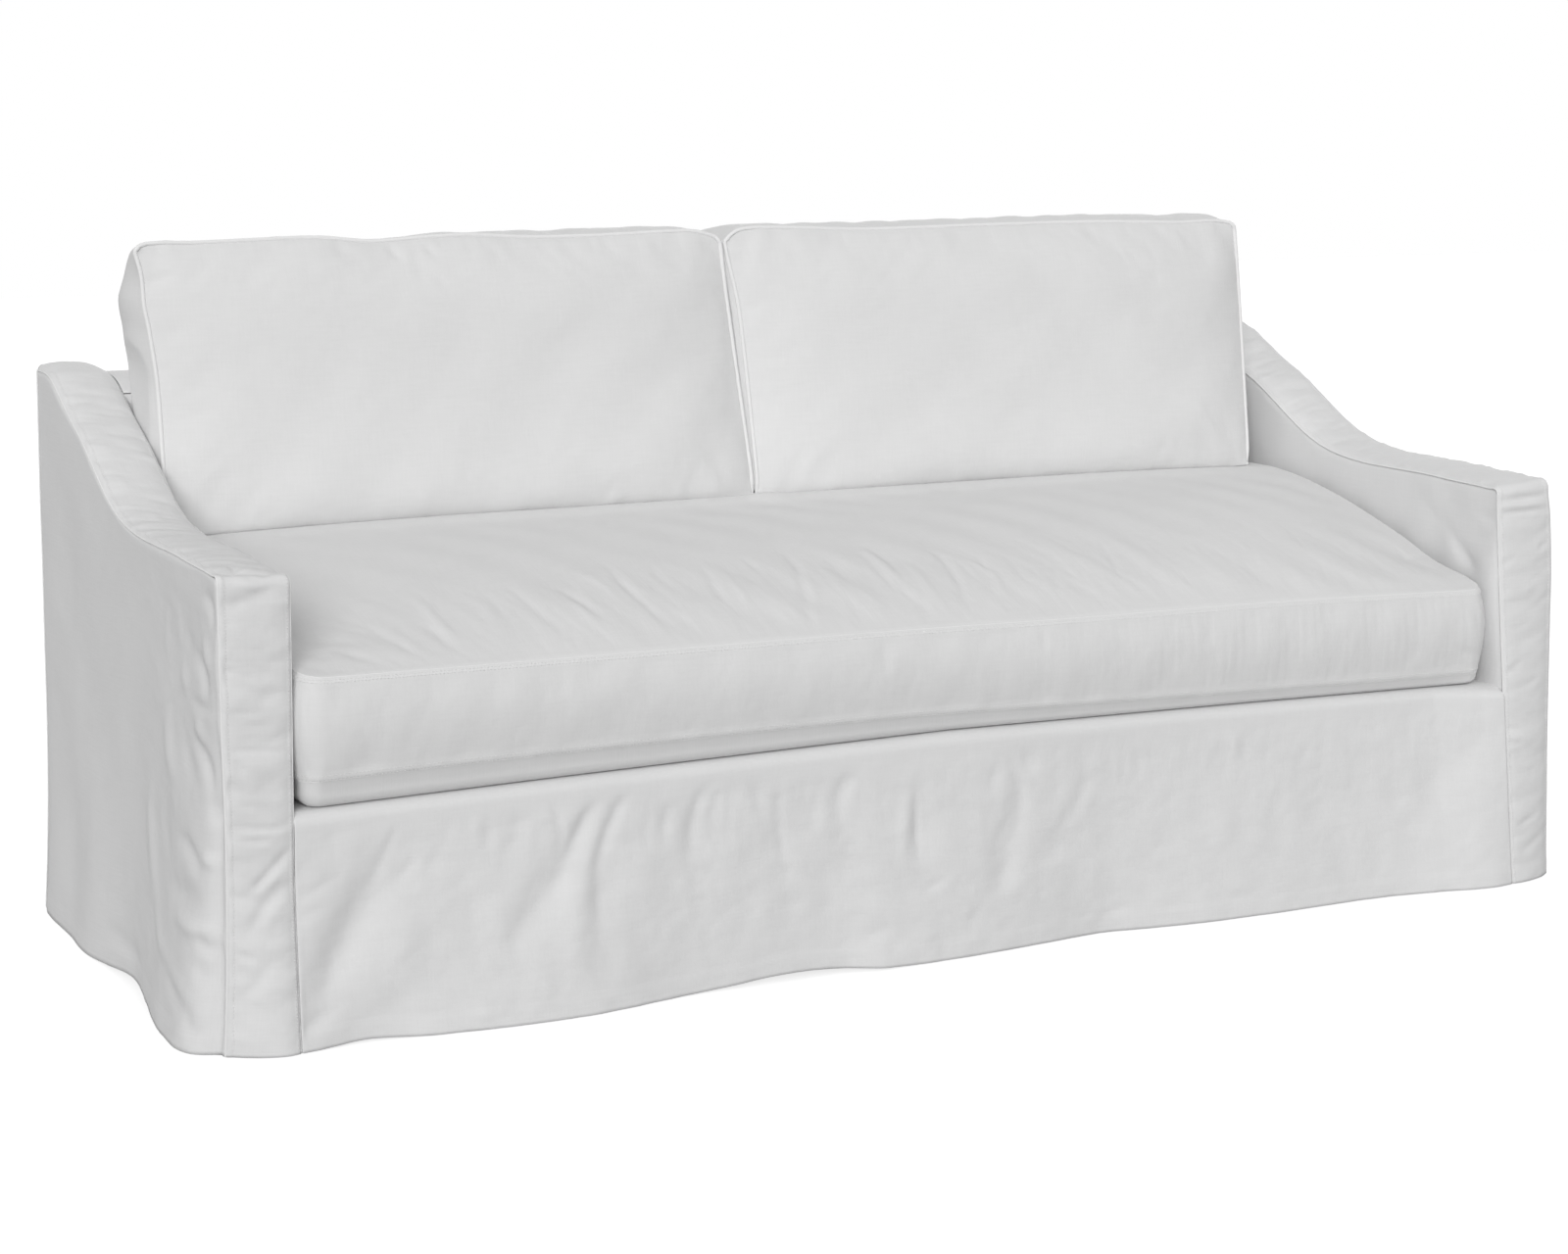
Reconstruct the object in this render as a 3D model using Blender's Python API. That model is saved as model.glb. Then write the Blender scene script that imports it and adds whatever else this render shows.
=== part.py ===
"""Slipcover set for a sofa with scooped arms: the sewn cover and its covered cushions.

Metres, +Z up, the front faces -Y.  The cover is hollow and open at the floor.  Each sewn piece is
a closed sheet of cloth, and each cushion is one filled solid.  Sizes are measured on the cover as it
hangs: the tables below hold a row for each station of an edge, each wave of a hem or each crease.
"""
import math
from collections import namedtuple

import bpy
import numpy as np
from mathutils import Vector

# Driving sizes of the cover
WIDTH = 2.100          # across the arms, at their tops
DEPTH = 0.845          # arm front to outside back
ARM_WIDTH = 0.093
ARM_HEIGHT = 0.607     # at the arm's front corner, on its outer seam
INNER_DROP = 0.006     # the band's inner seam lies lower than its outer one
CLOTH = 0.002          # thickness of the cloth
GAP = 0.0003           # between neighbouring pieces
CORNER_BEND = 0.012    # radius of the band where it turns from arm front to arm top
RAIL_BEND = 0.018      # radius of the apron where it turns over the front rail
APRON_LAP = 0.075      # how far the apron reaches back on the deck
BACK_RAKE = math.radians(7.3)
PANEL_TUCK = 0.012     # how far the inside panels reach below the deck

FRONT = -DEPTH / 2
BACK = DEPTH / 2
ARM_OUT = WIDTH / 2
ARM_IN = ARM_OUT - ARM_WIDTH
APRON_BACK = FRONT + RAIL_BEND + APRON_LAP
SEAM_STEP = CLOTH + GAP     # from a covering piece's face to the edge of the piece under it

# The arm's outer seam, seen from the side: level in front, then a scoop up to the back
Profile = namedtuple("Profile", "y z")
ARM_TOP = (
    Profile(FRONT + CORNER_BEND, ARM_HEIGHT),
    Profile(-0.375, 0.6095),
    Profile(-0.310, 0.6115),
    Profile(-0.240, 0.6145),
    Profile(-0.160, 0.6150),
    Profile(-0.090, 0.6165),
    Profile(-0.030, 0.6225),
    Profile(0.015, 0.6320),
    Profile(0.062, 0.6490),
    Profile(0.109, 0.6730),
    Profile(0.150, 0.6960),
    Profile(0.200, 0.7220),
    Profile(0.250, 0.7435),
    Profile(0.3126, 0.7750),
    Profile(0.345, 0.7900),
    Profile(0.375, 0.7965),
    Profile(BACK, 0.7980),
)
BACK_EDGE = Profile(ARM_TOP[-4].y, ARM_TOP[-4].z - INNER_DROP)   # front of the top strip

# The deck stands a little higher in the middle than at the arms
DeckLine = namedtuple("DeckLine", "x z")
DECK_LINES = (
    DeckLine(-ARM_IN, 0.3010),
    DeckLine(-0.600, 0.3070),
    DeckLine(0.000, 0.3145),
    DeckLine(0.500, 0.3080),
    DeckLine(ARM_IN, 0.3000),
)

# Heights of the cross lines of the front strips and the outside arms, as shares of the corner height
FRONT_SHARES = (0.0, 0.05, 0.125, 0.22, 0.335, 0.475, 0.62, 0.755, 0.885, 1.0)
CORNER_STEPS = (0.5, 1.0)
ARM_STATIONS = (-0.395, -0.371, -0.335, -0.29, -0.245, -0.18, -0.11, -0.055, -0.01, 0.03, 0.065,
                0.10, 0.14, 0.18, 0.22, 0.265, BACK_EDGE.y, 0.345, 0.38, BACK)

# Waves of the hems in plan: how far the hem stands out from the upright cloth above it
Wave = namedtuple("Wave", "at out")
FRONT_HEM = (
    Wave(-1.060, -0.0125), Wave(-1.047, -0.0110), Wave(-1.000, 0.0125), Wave(-0.965, 0.0195),
    Wave(-0.860, 0.0085), Wave(-0.760, 0.0245), Wave(-0.650, 0.0355), Wave(-0.540, 0.0325),
    Wave(-0.420, 0.0125), Wave(-0.300, 0.0080), Wave(-0.180, 0.0080), Wave(-0.120, 0.0225),
    Wave(0.000, 0.0205), Wave(0.135, 0.0095), Wave(0.240, -0.0010), Wave(0.330, 0.0105),
    Wave(0.420, 0.0215), Wave(0.600, 0.0245), Wave(0.700, 0.0225), Wave(0.810, 0.0345),
    Wave(0.915, 0.0545), Wave(0.990, 0.0430), Wave(1.030, 0.0300), Wave(1.060, 0.0120),
)
LEFT_HEM = (
    Wave(-0.410, -0.003), Wave(-0.395, 0.022), Wave(-0.371, 0.037), Wave(-0.333, 0.043),
    Wave(-0.245, 0.036), Wave(-0.160, 0.022), Wave(-0.050, 0.009), Wave(0.060, 0.015),
    Wave(0.150, 0.023), Wave(0.250, 0.016), Wave(0.380, 0.013), Wave(BACK, 0.005),
)
RIGHT_HEM = (
    Wave(-0.435, 0.003), Wave(-0.400, 0.010), Wave(-0.333, 0.022), Wave(-0.245, 0.036),
    Wave(-0.150, 0.040), Wave(-0.050, 0.024), Wave(0.050, 0.013), Wave(0.150, 0.022),
    Wave(0.250, 0.034), Wave(0.350, 0.020), Wave(BACK, 0.006),
)
BACK_HEM = (
    Wave(-1.060, 0.002), Wave(-0.880, 0.014), Wave(-0.640, 0.003), Wave(-0.420, 0.016),
    Wave(-0.160, 0.005), Wave(0.100, 0.018), Wave(0.360, 0.004), Wave(0.620, 0.015),
    Wave(0.860, 0.005), Wave(1.060, 0.002),
)
HEM_POWER = 1.15

# How high the hem's waves reach, by where they stand across the front
Reach = namedtuple("Reach", "at height")
FRONT_REACH = (
    Reach(-ARM_OUT, 0.30), Reach(-ARM_IN, 0.22), Reach(-0.88, 0.30), Reach(0.84, 0.31),
    Reach(0.92, 0.45), Reach(ARM_IN, 0.62), Reach(ARM_OUT, 0.62),
)
SIDE_REACH = 0.52
SIDE_POWER = 1.3
BACK_REACH = 0.45

# How far each arm's cloth stands out of the arm's plane at its heights
Swell = namedtuple("Swell", "z left right")
ARM_SWELL = (
    Swell(0.000, 0.001, -0.002),
    Swell(0.100, -0.002, 0.001),
    Swell(0.200, -0.003, 0.004),
    Swell(0.300, -0.002, 0.008),
    Swell(0.400, 0.000, 0.0115),
    Swell(0.470, 0.001, 0.0135),
    Swell(0.550, 0.002, 0.011),
    Swell(0.610, 0.003, 0.004),
    Swell(0.800, 0.004, 0.003),
)

# Where the hem is lifted off the floor
Lift = namedtuple("Lift", "at spread height")
FRONT_LIFTS = (Lift(-0.250, 0.110, 0.009), Lift(-0.870, 0.050, 0.003))
LEFT_LIFTS = (Lift(-0.060, 0.110, 0.012),)
NO_LIFTS = ()

# Creases of the apron: from one point of it to another, out is negative for a trough
Crease = namedtuple("Crease", "x0 z0 x1 z1 spread out")
APRON_CREASES = (
    Crease(-0.822, 0.272, -0.944, 0.023, 0.030, -0.012),
    Crease(-0.790, 0.200, -0.850, 0.040, 0.035, 0.005),
    Crease(-0.533, 0.280, -0.654, 0.118, 0.030, -0.010),
    Crease(-0.570, 0.220, -0.590, 0.060, 0.026, 0.006),
    Crease(-0.536, 0.231, -0.537, 0.110, 0.026, -0.007),
    Crease(-0.391, 0.276, -0.402, 0.175, 0.026, -0.006),
    Crease(-0.268, 0.277, -0.268, 0.159, 0.026, -0.006),
    Crease(-0.057, 0.234, -0.056, 0.135, 0.026, -0.007),
    Crease(0.102, 0.242, 0.069, 0.086, 0.030, -0.009),
    Crease(0.168, 0.163, 0.168, 0.109, 0.028, -0.006),
    Crease(0.600, 0.240, 0.640, 0.110, 0.040, -0.004),
    Crease(0.960, 0.290, 0.800, 0.120, 0.035, -0.006),
)
APRON_COLUMNS = 52
BACK_COLUMNS = 20
BACK_SHARES = (0.0, 0.12, 0.28, 0.48, 0.72, 1.0)
INSIDE_ARM_SHARES = (0.0, 0.2, 0.4, 0.6, 0.8, 1.0)
BAND_SHARES = (0.0, 0.07, 0.25, 0.5, 0.75, 0.93, 1.0)
BandCrown = namedtuple("BandCrown", "y height")
BAND_CROWNS = (
    BandCrown(FRONT, 0.004), BandCrown(-0.300, 0.006), BandCrown(0.000, 0.007),
    BandCrown(0.250, 0.008), BandCrown(BACK, 0.012),
)

# The seat cushion
SEAT_X = (-0.945, -0.930, -0.905, -0.86, -0.79, -0.70, -0.60, -0.50, -0.40, -0.30, -0.20, -0.10,
          0.0, 0.10, 0.20, 0.30, 0.40, 0.50, 0.60, 0.70, 0.79, 0.86, 0.900, 0.922, 0.937)
SEAT_Y = (FRONT, -0.408, -0.385, -0.35, -0.30, -0.24, -0.17, -0.10, -0.02, 0.06, 0.13, 0.175,
          0.21, 0.232, 0.243)
SEAT_CORNER = 0.030
SEAT_BULGE = 0.009
SEAT_LEVEL = 0.578      # height of the flat part that the back cushions press down
SEAT_END_RISE = 0.45    # how far in from an end its own rise is felt
SEAT_ROLL = 0.030       # radius of the bottom edge
SeatSeam = namedtuple("SeatSeam", "x upper lower")
SEAT_SEAMS = (
    SeatSeam(-0.945, 0.472, 0.338),
    SeatSeam(-0.690, 0.470, 0.342),
    SeatSeam(-0.114, 0.466, 0.343),
    SeatSeam(0.200, 0.461, 0.335),
    SeatSeam(0.540, 0.458, 0.326),
    SeatSeam(0.937, 0.448, 0.318),
)
# Rise of the top from its front seam to the level part, as a share: in the middle and at the ends
SeatRise = namedtuple("SeatRise", "y middle end")
SEAT_RISES = (
    SeatRise(FRONT, 0.00, 0.00),
    SeatRise(-0.408, 0.08, 0.03),
    SeatRise(-0.370, 0.25, 0.11),
    SeatRise(-0.325, 0.42, 0.17),
    SeatRise(-0.285, 0.55, 0.25),
    SeatRise(-0.228, 0.70, 0.41),
    SeatRise(-0.164, 0.83, 0.56),
    SeatRise(-0.100, 0.92, 0.70),
    SeatRise(-0.030, 0.98, 0.83),
    SeatRise(0.050, 1.00, 0.94),
    SeatRise(0.130, 1.00, 1.00),
    SeatRise(0.210, 1.00, 1.00),
    SeatRise(0.232, 0.80, 0.80),
    SeatRise(0.243, 0.45, 0.45),
)

# The back cushions
BACK_LOW = 0.5845       # the front seam's lowest line
BACK_ROWS = (0.0, 0.022, 0.055, 0.12, 0.22, 0.35, 0.48, 0.61, 0.73, 0.83, 0.91, 0.958, 0.983, 1.0)
BACK_COLS = (0.0, 0.008, 0.019, 0.045, 0.10, 0.19, 0.30, 0.42, 0.54, 0.66, 0.78, 0.88, 0.945,
             0.978, 0.992, 1.0)
BACK_CORNER = 0.016
BACK_SEAM_LOW_Y = 0.150     # the front seam leans back from here
BACK_SEAM_LEAN = 0.1125
BACK_CROWN_FRONT = 0.045
BACK_CROWN_REAR = 0.024
BACK_REAR_DROP = 0.006      # the rear seam's top lies lower than the front one's
BACK_SIDE_BULGE = 0.017
BACK_RELIEF_Z = 0.825       # above this a cushion is free to swell over the arms and the top strip
SPLIT_X = -0.053            # where the two cushions press together, at SPLIT_Z
SPLIT_Z = 0.984
SPLIT_LEAN = -0.092
ARM_ROOM = 0.0025           # kept between cushion and inside arm
Edge = namedtuple("Edge", "z x")
TopSeam = namedtuple("TopSeam", "x z bulge")
LEFT_END = (Edge(0.58, -0.944), Edge(0.78, -0.947), Edge(0.86, -0.955), Edge(0.90, -0.961),
            Edge(0.942, -0.963), Edge(0.99, -0.973))
RIGHT_END = (Edge(0.58, 0.906), Edge(0.80, 0.905), Edge(0.90, 0.904), Edge(0.99, 0.902))
LEFT_SPLIT = (Edge(0.58, -0.0225), Edge(0.99, -0.0600))
RIGHT_SPLIT = (Edge(0.58, -0.0070), Edge(0.86, -0.0290), Edge(0.95, -0.0400), Edge(0.99, -0.0440))
LEFT_TOP = (
    TopSeam(-0.975, 0.982, 0.001), TopSeam(-0.950, 0.989, 0.001), TopSeam(-0.880, 0.989, 0.001),
    TopSeam(-0.790, 0.991, 0.001), TopSeam(-0.700, 0.992, 0.001), TopSeam(-0.620, 0.985, 0.001),
    TopSeam(-0.540, 0.989, 0.002), TopSeam(-0.470, 0.991, 0.004), TopSeam(-0.380, 0.986, 0.009),
    TopSeam(-0.270, 0.986, 0.010), TopSeam(-0.120, 0.986, 0.012), TopSeam(-0.090, 0.982, 0.010),
    TopSeam(-0.050, 0.971, 0.003),
)
RIGHT_TOP = (
    TopSeam(-0.045, 0.974, 0.003), TopSeam(-0.020, 0.985, 0.006), TopSeam(0.040, 0.989, 0.008),
    TopSeam(0.200, 0.986, 0.011), TopSeam(0.420, 0.988, 0.011), TopSeam(0.640, 0.989, 0.012),
    TopSeam(0.790, 0.985, 0.013), TopSeam(0.865, 0.986, 0.011), TopSeam(0.905, 0.980, 0.004),
)
# Edges of a cushion's front face, how far its rear face stands to the right of them at its right
# end, and how far at its left end's top corner
Outline = namedtuple("Outline", "left right top rear_right rear_left")
CUSHION_OUTLINES = {
    "left": Outline(LEFT_END, LEFT_SPLIT, LEFT_TOP, 0.0, 0.036),
    "right": Outline(RIGHT_SPLIT, RIGHT_END, RIGHT_TOP, 0.046, 0.0),
}
WELT_RADIUS = 0.003
WELT_SIDES = 6

COTTON = (0.80, 0.80, 0.795, 1.0)
PIPING = (0.84, 0.84, 0.835, 1.0)


def smooth_value(table, where, column=1):
    """Value of a table's column at a place along its first column, on one smooth curve."""
    xs = [row[0] for row in table]
    ys = [row[column] for row in table]
    where = min(max(where, xs[0]), xs[-1])
    i = min(max(int(np.searchsorted(xs, where)) - 1, 0), len(xs) - 2)

    def slope(k):
        low = max(k - 1, 0)
        high = min(k + 1, len(xs) - 1)
        return (ys[high] - ys[low]) / (xs[high] - xs[low])

    span = xs[i + 1] - xs[i]
    u = (where - xs[i]) / span
    return (ys[i] * (1 - u) ** 2 * (1 + 2 * u) + ys[i + 1] * u * u * (3 - 2 * u)
            + span * slope(i) * u * (1 - u) ** 2 - span * slope(i + 1) * u * u * (1 - u))


def straight_value(table, where, column=1):
    """Value of a table's column at a place, on straight lines between its rows."""
    return float(np.interp(where, [row[0] for row in table], [row[column] for row in table]))


def fade(height, reach, power):
    """1 at the hem, 0 at the height that a wave reaches."""
    return max(0.0, 1.0 - height / reach) ** power


def lift(lifts, where, height, full_height):
    """How much a point of a panel is raised where its hem is off the floor."""
    at_hem = sum(row.height * math.exp(-((where - row.at) / row.spread) ** 2) for row in lifts)
    return at_hem * max(0.0, 1.0 - height / full_height)


def deck_z(x):
    return straight_value(DECK_LINES, x)


def inside_back_y(z):
    """Seat side of the inside back at a height."""
    return BACK_EDGE.y - (BACK_EDGE.z - z) * math.tan(BACK_RAKE)


def near_front(y):
    """1 along the front seam of a side panel, 0 a hand further back."""
    return max(0.0, 1.0 - (y - FRONT - SEAM_STEP) / 0.12) ** 2


def front_out(x, z):
    """How far the cloth of the front stands out of the front plane."""
    return smooth_value(FRONT_HEM, x) * fade(z, straight_value(FRONT_REACH, x), HEM_POWER)


def side_out(side, y, z):
    """How far an outside arm stands out of the plane of the arm."""
    hem = LEFT_HEM if side < 0 else RIGHT_HEM
    swell = smooth_value(ARM_SWELL, z, 1 if side < 0 else 2)
    return smooth_value(hem, y) * fade(z, SIDE_REACH, SIDE_POWER) + swell


def back_out(x, z):
    return smooth_value(BACK_HEM, x) * fade(z, BACK_REACH, SIDE_POWER)


def crease_depth(x, z):
    """Sum of the apron's creases at a point of it."""
    total = 0.0
    for crease in APRON_CREASES:
        start = np.array((crease.x0, crease.z0))
        run = np.array((crease.x1, crease.z1)) - start
        share = np.clip(np.dot(np.array((x, z)) - start, run) / np.dot(run, run), 0.0, 1.0)
        off = np.linalg.norm(start + share * run - np.array((x, z)))
        total += crease.out * math.exp(-(off / crease.spread) ** 2)
    return total


# ---------------------------------------------------------------------------------------------
# Meshes

def cloth_material(name, colour):
    material = bpy.data.materials.new(name)
    material.use_nodes = True
    shader = material.node_tree.nodes["Principled BSDF"]
    shader.inputs["Base Color"].default_value = colour
    shader.inputs["Roughness"].default_value = 0.85
    shader.inputs["Metallic"].default_value = 0.0
    material.diffuse_color = colour
    return material


def signed_volume(points, faces):
    total = 0.0
    for face in faces:
        for k in range(1, len(face) - 1):
            a, b, c = points[face[0]], points[face[k]], points[face[k + 1]]
            total += np.dot(a, np.cross(b, c))
    return total / 6


def add_solid(name, points, faces, colour=COTTON):
    """One closed mesh object, faces pointing out, with its own material."""
    points = np.array(points, dtype=float)
    if signed_volume(points, faces) < 0:
        faces = [tuple(reversed(face)) for face in faces]
    mesh = bpy.data.meshes.new(name)
    mesh.from_pydata([tuple(point) for point in points], [], faces)
    mesh.update()
    mesh.shade_smooth()
    mesh.set_sharp_from_angle(angle=math.radians(50))
    mesh.materials.append(cloth_material(name, colour))
    part = bpy.data.objects.new(name, mesh)
    bpy.context.scene.collection.objects.link(part)
    return part


def grid_faces(rows, columns, offset=0):
    """Quads of a grid of points numbered row by row."""
    faces = []
    for i in range(rows - 1):
        for j in range(columns - 1):
            a = offset + i * columns + j
            faces.append((a, a + 1, a + columns + 1, a + columns))
    return faces


def grid_border(rows, columns):
    """Numbers of a grid's border points, once round."""
    bottom = [j for j in range(columns)]
    right = [i * columns + columns - 1 for i in range(1, rows)]
    top = [(rows - 1) * columns + j for j in range(columns - 2, -1, -1)]
    left = [i * columns for i in range(rows - 2, 0, -1)]
    return bottom + right + top + left


def add_sheet(name, face, back):
    """A sheet of cloth between two grids of points: its visible face and its back."""
    face = np.array(face, dtype=float)
    back = np.array(back, dtype=float)
    rows, columns = face.shape[:2]
    count = rows * columns
    faces = grid_faces(rows, columns)
    faces += [tuple(reversed(quad)) for quad in grid_faces(rows, columns, count)]
    border = grid_border(rows, columns)
    for a, b in zip(border, border[1:] + border[:1]):
        faces.append((b, a, a + count, b + count))
    return add_solid(name, np.concatenate((face.reshape(-1, 3), back.reshape(-1, 3))), faces)


# ---------------------------------------------------------------------------------------------
# The cover

def arm_path(drop):
    """Stations of a seam of the arm band from hem to back: point (y, z) and its outward normal.

    The outer seam has no drop; the inner one lies lower by its drop.
    """
    corner_z = ARM_HEIGHT - drop - CORNER_BEND
    stations = [((FRONT, share * corner_z), (-1.0, 0.0)) for share in FRONT_SHARES]
    for step in CORNER_STEPS:
        turn = step * math.pi / 2
        normal = (-math.cos(turn), math.sin(turn))
        point = (FRONT + CORNER_BEND * (1 + normal[0]), corner_z + CORNER_BEND * normal[1])
        stations.append((point, normal))
    for y in ARM_STATIONS:
        rise = (smooth_value(ARM_TOP, y + 0.004) - smooth_value(ARM_TOP, y - 0.004)) / 0.008
        length = math.hypot(1.0, rise)
        point = (y, smooth_value(ARM_TOP, y) - drop)
        stations.append((point, (-rise / length, 1.0 / length)))
    return stations


def inset_top(path):
    """The part of the path above the arm's front, moved in to the edge of the panels below it."""
    return [(y - ny * SEAM_STEP, z - nz * SEAM_STEP)
            for (y, z), (ny, nz) in path[len(FRONT_SHARES) - 1:]]


def outside_arm(name, side, path, lifts):
    face = []
    for share in FRONT_SHARES:
        row = []
        for y, top in inset_top(path):
            z = share * top
            edge_x = side * (ARM_OUT + side_out(side, y, z))
            shifted = min(y - front_out(edge_x, z) * near_front(y), BACK - SEAM_STEP)
            raised = z + lift(lifts, y, z, top)
            row.append((edge_x, shifted, raised))
        face.append(row)
    face = np.array(face)
    return add_sheet(name, face, face - np.array((side * CLOTH, 0.0, 0.0)))


def band_place(side, outer, inner, share):
    """Point of the arm band's face at a share of its width, and its outward normal there."""
    (y, z), _ = outer
    start = np.array((side * (ARM_OUT + side_out(side, y, z)), y, z))
    end = np.array((side * ARM_IN, *inner[0]))
    normal = np.array((0.0, *(np.array(outer[1]) + share * (np.array(inner[1]) - outer[1]))))
    spot = start + share * (end - start)
    crown = smooth_value(BAND_CROWNS, y) * (1 - abs(2 * share - 1) ** 3)
    forward = front_out(spot[0], spot[2]) * -normal[1]
    return spot + normal * crown - np.array((0.0, forward, 0.0)), normal


def arm_band(name, side, outer_path, inner_path):
    face = []
    back = []
    for outer, inner in zip(outer_path, inner_path):
        places = [band_place(side, outer, inner, share) for share in BAND_SHARES]
        face.append([spot for spot, _ in places])
        back.append([spot - normal * CLOTH for spot, normal in places])
    return add_sheet(name, face, back)


def inside_arm(name, side, path):
    last = sum(station[0][0] <= BACK_EDGE.y for station in path[len(FRONT_SHARES):])
    corners = inset_top(path)[:last + 1]
    low = deck_z(side * ARM_IN) - PANEL_TUCK
    face = []
    for share in INSIDE_ARM_SHARES:
        row = []
        end_z = low + share * (corners[last][1] - low)
        end_shift = inside_back_y(end_z) + CLOTH - corners[last][0]
        for column, (y, top) in enumerate(corners):
            z = low + share * (top - low)
            forward = front_out(side * ARM_IN, z) * near_front(y)
            row.append((side * ARM_IN, y + end_shift * (column / last) ** 2 - forward, z))
        face.append(row)
    face = np.array(face)
    return add_sheet(name, face, face + np.array((side * CLOTH, 0.0, 0.0)))


def front_apron():
    columns = sorted(set(np.round(np.linspace(-ARM_IN + GAP, ARM_IN - GAP, APRON_COLUMNS), 4))
                     | {line.x for line in DECK_LINES[1:-1]})
    rail_shares = [share for share in (0.0, 0.08, 0.2, 0.36, 0.54, 0.72, 0.88, 1.0)]
    face = []
    back = []
    for share in rail_shares:
        row = []
        for x in columns:
            rail = deck_z(x) - RAIL_BEND
            z = share * rail
            out = front_out(x, z) + crease_depth(x, z) * math.sin(math.pi * min(1.0, share + 0.1))
            row.append((x, FRONT - out, z + lift(FRONT_LIFTS, x, z, rail)))
        face.append(row)
        back.append([(x, y + CLOTH, z) for x, y, z in row])
    for turn in (math.pi / 6, math.pi / 3, math.pi / 2):
        row = []
        under = []
        for x in columns:
            rail = deck_z(x) - RAIL_BEND
            out = front_out(x, rail) * math.cos(turn)
            for radius, points in ((RAIL_BEND, row), (RAIL_BEND - CLOTH, under)):
                points.append((x, FRONT + RAIL_BEND - radius * math.cos(turn) - out,
                               rail + radius * math.sin(turn)))
        face.append(row)
        back.append(under)
    face.append([(x, APRON_BACK, deck_z(x)) for x in columns])
    back.append([(x, APRON_BACK, deck_z(x) - CLOTH) for x in columns])
    return add_sheet("front_apron", face, back)


def deck():
    columns = [-ARM_IN + GAP] + [line.x for line in DECK_LINES[1:-1]] + [ARM_IN - GAP]
    face = []
    for share in (0.0, 1.0):
        row = []
        for x in columns:
            z = deck_z(x)
            start = APRON_BACK + GAP
            end = inside_back_y(z - CLOTH) - GAP
            row.append((x, start + share * (end - start), z))
        face.append(row)
    face = np.array(face)
    return add_sheet("deck", face, face - np.array((0.0, 0.0, CLOTH)))


def inside_back():
    columns = np.linspace(-ARM_IN + GAP, ARM_IN - GAP, 7)
    top = BACK_EDGE.z - SEAM_STEP
    face = []
    for share in (0.0, 0.35, 0.7, 1.0):
        row = []
        for x in columns:
            low = deck_z(0.0) - PANEL_TUCK - 0.010
            z = low + share * (top - low)
            row.append((x, inside_back_y(z), z))
        face.append(row)
    face = np.array(face)
    return add_sheet("inside_back", face, face + np.array((0.0, CLOTH, 0.0)))


def back_top(path):
    columns = np.linspace(-ARM_IN + GAP, ARM_IN - GAP, 15)
    stations = [station for station in path if station[0][0] >= BACK_EDGE.y - GAP]
    face = []
    back = []
    for (y, z), (ny, nz) in stations:
        face.append([(x, y, z) for x in columns])
        back.append([(x, y - ny * CLOTH, z - nz * CLOTH) for x in columns])
    return add_sheet("back_top", face, back)


def outside_back(outer_path, inner_path):
    """The back panel: its top edge lies under the ends of the arm bands and of the top strip."""
    ends = {}
    for side in (-1, 1):
        spots = [band_place(side, outer_path[-1], inner_path[-1], share)[0] for share in BAND_SHARES]
        ends[side] = [(spot[0], spot[2]) for spot in spots]
    middle = [(x, inner_path[-1][0][1]) for x in np.linspace(-ARM_IN, ARM_IN, BACK_COLUMNS)]
    tops = ends[-1] + middle[1:-1] + ends[1][::-1]
    face = []
    for share in BACK_SHARES:
        row = []
        for x, top in tops:
            z = share * (top - SEAM_STEP)
            outer = abs(x) > ARM_IN
            flare = side_out(math.copysign(1, x), BACK, z) - side_out(math.copysign(1, x), BACK, top)
            part = (abs(x) - ARM_IN) / ARM_WIDTH if outer else 0.0
            row.append((x + math.copysign(flare * part, x), BACK + back_out(x, z), z))
        face.append(row)
    face = np.array(face)
    return add_sheet("outside_back", face, face - np.array((0.0, CLOTH, 0.0)))


# ---------------------------------------------------------------------------------------------
# The cushions

def round_corner(a, b, a_ends, b_ends, radius):
    """Moves a point near a corner of a rectangle so that the corner gets round."""
    a_end = a_ends[0] if a - a_ends[0] < a_ends[1] - a else a_ends[1]
    b_end = b_ends[0] if b - b_ends[0] < b_ends[1] - b else b_ends[1]
    u = max(0.0, 1.0 - abs(a - a_end) / radius)
    v = max(0.0, 1.0 - abs(b - b_end) / radius)
    round_u = u * math.sqrt(1.0 - v * v / 2)
    round_v = v * math.sqrt(1.0 - u * u / 2)
    a += math.copysign((u - round_u) * radius, (a_ends[0] + a_ends[1]) / 2 - a_end)
    b += math.copysign((v - round_v) * radius, (b_ends[0] + b_ends[1]) / 2 - b_end)
    return a, b


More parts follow.
